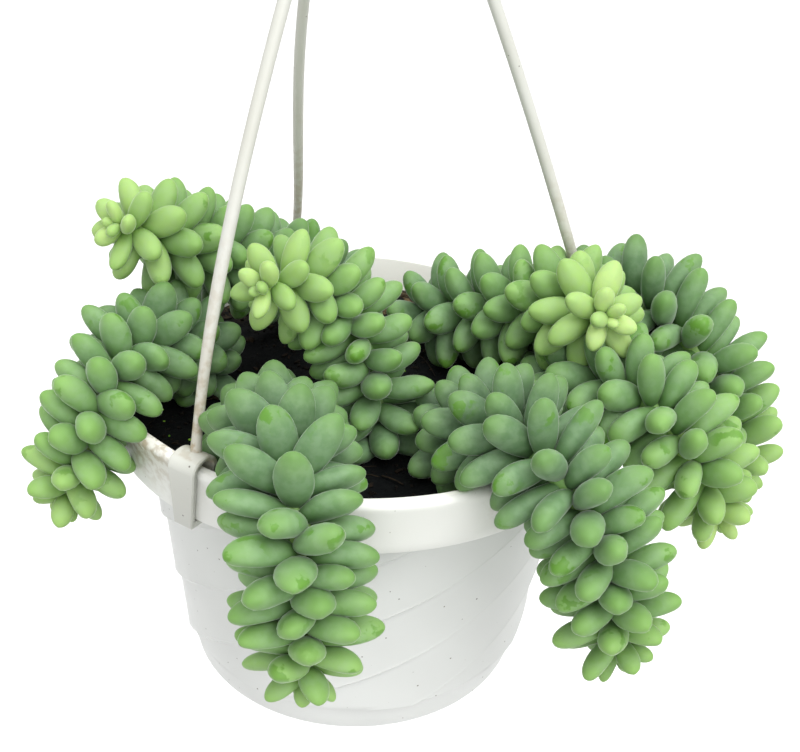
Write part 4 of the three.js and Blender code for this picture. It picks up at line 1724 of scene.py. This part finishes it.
    @staticmethod
    def _apart(centres: np.ndarray, radii: np.ndarray, pairs: tuple[np.ndarray, np.ndarray]) -> np.ndarray:
        """Pushes balls of different leaves apart.

        Args:
            centres: the balls' centres.
            radii: their radii.
            pairs: the balls that may touch.

        Returns:
            A push for each ball.
        """
        first, second = pairs
        away = centres[first] - centres[second]
        limit = radii[first] + radii[second]
        touching = np.einsum("ij,ij->i", away, away) < limit**2
        first, second, away, limit = first[touching], second[touching], away[touching], limit[touching]
        gap = np.maximum(np.linalg.norm(away, axis=1), TINY)
        move = away / gap[:, None] * (0.5 * (limit - gap))[:, None]
        push = np.zeros_like(centres)
        for axis in range(3):
            push[:, axis] = np.bincount(first, move[:, axis], len(centres))
            push[:, axis] -= np.bincount(second, move[:, axis], len(centres))
        return push

    @staticmethod
    def _off_fixed(
        centres: np.ndarray, radii: np.ndarray, stem_of: np.ndarray, fixed: np.ndarray, owners: np.ndarray
    ) -> np.ndarray:
        """Pushes balls off those that don't move, apart from those of their own stem.

        Args:
            centres: the balls' centres.
            radii: their radii.
            stem_of: the stem of each.
            fixed: the balls that don't move.
            owners: the stem of each of those.

        Returns:
            A push for each ball.
        """
        push = np.zeros_like(centres)
        spread = (
            np.sum(centres**2, axis=1)[:, None]
            + np.sum(fixed[:, :3] ** 2, axis=1)[None, :]
            - 2 * centres @ fixed[:, :3].T
        )
        close = spread < (radii[:, None] + fixed[None, :, 3]) ** 2
        close &= stem_of[:, None] != owners[None, :]
        first, second = np.nonzero(close)
        away = centres[first] - fixed[second, :3]
        gap = np.maximum(np.linalg.norm(away, axis=1), TINY)
        move = away / gap[:, None] * (radii[first] + fixed[second, 3] - gap)[:, None]
        deepest = np.zeros(len(centres))
        depth = np.linalg.norm(move, axis=1)
        np.maximum.at(deepest, first, depth)
        strongest = depth >= deepest[first] - 1e-9
        push[first[strongest]] = move[strongest]
        return push

    def _core(self, stem: Stem) -> Shell:
        """Builds a stem's bare core, which thins towards its tip.

        Args:
            stem: the stem.

        Returns:
            The core.
        """
        rows, columns = self.core_grid

        def radius(share: np.ndarray) -> np.ndarray:
            """The core's radius by share of its length."""
            return stem.core_radius * (1 - 0.55 * smooth_step(0.8, 1.0, share))

        core = Route(stem.path).tube(radius, rows, columns)
        core.marks = {"leaf_age": np.repeat(np.linspace(1, 0, rows), columns)}
        return core

    def build(self) -> list[bpy.types.Object]:
        """Grows, settles and dresses the stems, two pieces to each: its leaves and its bare core.

        Returns:
            The pieces.
        """
        sprouted = [self._sprout(number, stem) for number, stem in enumerate(self.stems)]
        every = Leaves(
            *(np.concatenate([getattr(s, name) for s in sprouted]) for name in Leaves.__dataclass_fields__)
        )
        settled = self._settle(every)
        log.info("leaves: %d sprouted, %d found room", len(every.root), len(settled.root))
        skin, bark = LeafSkin().material(), StemSkin().material()
        pieces = []
        for number, stem in enumerate(self.stems):
            own = settled.keep(settled.stem == number)
            leafy = self.form.shell(own, stem.bluntness).to_object(f"{stem.name}_leaves", skin)
            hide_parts(stem.name)
            pieces += [leafy, self._core(stem).to_object(f"{stem.name}_core", bark)]
        return pieces


STEMS = (
    Stem(
        "stem_front_left", 11, 1.04, Vigour.COOL,
        (
            (-24, -26, 73), (-22, -37, 86), (-19, -54, 97), (-16, -70, 103), (-14, -82, 102),
            (-12, -88, 95), (-12, -89, 85), (-11, -88, 74), (-11, -88, 62), (-11, -87, 53),
        ),
        leaf_width=9.0, leaf_thickness=6.0, bare_foot=16.0, spacing=1.05, bluntness=2.1,
    ),
    Stem(
        "stem_front_right", 23, 1.02, Vigour.COOL,
        (
            (25, -26, 73), (26, -33, 84), (30, -43, 94), (36, -58, 101), (43, -70, 101),
            (50, -74, 93), (56, -74, 81), (60, -73, 68), (63, -71, 56), (65, -70, 48),
        ),
        leaf_width=7.7, leaf_thickness=6.0, bare_foot=17.0, spacing=0.98, bluntness=2.5,
    ),
    Stem(
        "stem_left", 37, 0.92, Vigour.MILD,
        (
            (-44, 6, 73), (-45, 1, 86), (-48, -7, 97), (-54, -18, 103), (-59, -31, 103),
            (-63, -38, 97), (-67, -41, 88), (-71, -42, 78), (-74, -42, 69),
        ),
        leaf_width=8.1, leaf_thickness=6.2, spacing=1.06, bluntness=2.2,
    ),
    Stem(
        "stem_upper_left", 41, 1.0, Vigour.FRESH,
        (
            (-8, 46, 73), (-10, 41, 86), (-15, 34, 97), (-23, 28, 103), (-32, 21, 109),
            (-42, 13, 115), (-51, 3, 122), (-57, -5, 128), (-62, -11, 132),
        ),
        leaf_width=7.9, leaf_thickness=6.2, spacing=1.0,
    ),
    Stem(
        "stem_centre", 53, 0.94, Vigour.FRESH,
        (
            (5, -26, 73), (5, -27, 85), (3, -27, 96), (0, -24, 107), (-5, -21, 115),
            (-11, -22, 121), (-19, -28, 125), (-24, -35, 127),
        ),
        leaf_width=7.6, leaf_thickness=6.0, bare_foot=9.0, spacing=1.04, bluntness=2.1,
    ),
    Stem(
        "stem_upper_right", 67, 1.0, Vigour.BRIGHT,
        (
            (14, 30, 73), (16, 27, 85), (22, 22, 94), (33, 14, 99), (46, 4, 105),
            (54, -7, 111), (58, -18, 115), (61, -28, 118),
        ),
        leaf_width=8.2, leaf_thickness=6.5, bare_foot=20.5, spacing=1.1, bluntness=2.1,
    ),
    Stem(
        "stem_far_right", 71, 1.1, Vigour.MILD,
        (
            (44, 24, 73), (48, 22, 84), (57, 20, 95), (67, 13, 102), (77, 7, 105), (85, 1, 102),
            (91, -5, 97), (97, -7, 88), (101, -8, 78), (105, -9, 68), (108, -9, 59),
        ),
        leaf_width=8.2, leaf_thickness=6.5, spacing=1.1,
    ),
    Stem(
        "stem_right", 83, 1.0, Vigour.FRESH,
        (
            (50, -3, 73), (54, -8, 84), (60, -17, 93), (67, -29, 98), (74, -37, 97),
            (80, -41, 90), (86, -41, 81), (91, -39, 72), (94, -39, 66),
        ),
        leaf_width=8.0, leaf_thickness=6.4, spacing=1.06,
    ),
)


# ---------------------------------------------------------------------- studio


@dataclass
class Studio:
    """The plain pale floor, soft lights and the camera at the photograph's angle."""

    floor_drop: float = 0.4
    sky_below: float = 0.6
    sky_sides: float = 0.6
    sky_overhead: float = 2.3
    sky_focus: float = 4.0
    sky_horizon: float = 0.46
    floor_reach: float = 60.0
    floor_corners: int = 96
    camera_place: Point = (0.0, -0.2921, 0.2461)
    yaw: float = 2.16
    pitch: float = 28.89
    roll: float = 2.34
    lens: float = 54.0

    def build(self) -> None:
        """Builds the floor, the lights, the surroundings and the camera."""
        edge = ring(self.floor_reach / MM, turned_round(self.floor_corners), -self.floor_drop / MM)
        disc = Shell(edge, [tuple(range(self.floor_corners))])
        floor = disc.to_object("studio_floor", StudioPaper().material())
        floor.visible_diffuse = False
        self._light("key_light", (0.5, -0.93, 1.32), (0.0, 0.0, 0.08), 0.8, 13.5)
        self._light("front_light", (0.2, -1.35, 0.45), (0.0, 0.0, 0.12), 1.2, 7.0)
        self._sky()
        bpy.context.scene.view_settings.view_transform = "Standard"
        self._camera()

    def _sky(self) -> None:
        """Soft light from all round, which grows towards the zenith."""
        world = bpy.data.worlds.new("studio_air")
        graph = Graph(world)
        direction = graph.add("ShaderNodeTexCoord", output="Generated")
        height = graph.add("ShaderNodeSeparateXYZ", None, {0: direction}, "Z")
        risen = graph.add("ShaderNodeMath", {"operation": "MAXIMUM"}, {0: height, 1: 0.0})
        overhead = graph.add("ShaderNodeMath", {"operation": "POWER"}, {0: risen, 1: self.sky_focus})
        above = overhead * self.sky_overhead + height.step(0.4, 0.0) * self.sky_horizon + self.sky_sides
        strength = (above - self.sky_below) * height.step(-0.16, -0.06) + self.sky_below
        air = graph.add("ShaderNodeBackground", None, {"Color": (1.0, 1.0, 1.0, 1.0), "Strength": strength})
        graph.close("ShaderNodeOutputWorld", air)
        bpy.context.scene.world = world

    @staticmethod
    def _light(name: str, place: Point, target: Point, size: float, power: float) -> None:
        """A soft panel light.

        Args:
            name: its name.
            place: where it stands, in metres.
            target: the point that it faces.
            size: its width and height, in metres.
            power: its power in watts.
        """
        lamp = bpy.data.lights.new(name, "AREA")
        lamp.shape, lamp.energy, lamp.size, lamp.size_y = "RECTANGLE", power, size, size
        made = bpy.data.objects.new(name, lamp)
        made.location = place
        made.rotation_mode = "QUATERNION"
        made.rotation_quaternion = (Vector(target) - Vector(place)).to_track_quat("-Z", "Y")
        bpy.context.scene.collection.objects.link(made)

    def _camera(self) -> None:
        """Stands the camera where the photograph was taken from."""
        yaw, pitch, roll = (math.radians(a) for a in (self.yaw, self.pitch, self.roll))
        ahead = Vector((math.sin(yaw) * math.cos(pitch), math.cos(yaw) * math.cos(pitch), -math.sin(pitch)))
        level = ahead.cross(Vector(UP)).normalized()
        upright = level.cross(ahead)
        right = level * math.cos(roll) + upright * math.sin(roll)
        up = right.cross(ahead)
        turn = Matrix((right, up, -ahead)).transposed().to_4x4()
        lens = bpy.data.cameras.new("photo_camera")
        lens.lens, lens.sensor_width = self.lens, 36.0
        lens.clip_start, lens.clip_end = 0.01, 50.0
        camera = bpy.data.objects.new("photo_camera", lens)
        camera.matrix_world = Matrix.Translation(Vector(self.camera_place)) @ turn
        bpy.context.scene.collection.objects.link(camera)
        bpy.context.scene.camera = camera


# ------------------------------------------------------------------------ main


def settle_piece(piece: bpy.types.Object, slot: str, *nodes: str) -> None:
    """Ties a piece to the part.

    Args:
        piece: the visual piece.
        slot: the slot's name, which is only logged.
        nodes: the CAD nodes that it stands for.
    """
    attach(piece, "root")
    if nodes:
        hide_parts(*nodes)
    log.info("%s: %d faces, slot %s", piece.name, len(piece.data.polygons), slot)


def main() -> None:
    """Builds every piece and the studio."""
    logging.basicConfig(level=logging.INFO, format="%(name)s %(message)s")
    pot = Pot()
    settle_piece(pot.build(), "pot", "pot")
    soil = Soil(pot)
    bed, *strewn = soil.build()
    settle_piece(bed, "soil", "soil")
    for piece in strewn:
        settle_piece(piece, "soil")
    hanger = Hanger(pot)
    settle_piece(hanger.build(), "hanger", "hanger")
    for piece in Foliage(pot, soil, hanger, STEMS).build():
        settle_piece(piece, "leaves")
    Studio().build()


if __name__ == "__main__":
    main()
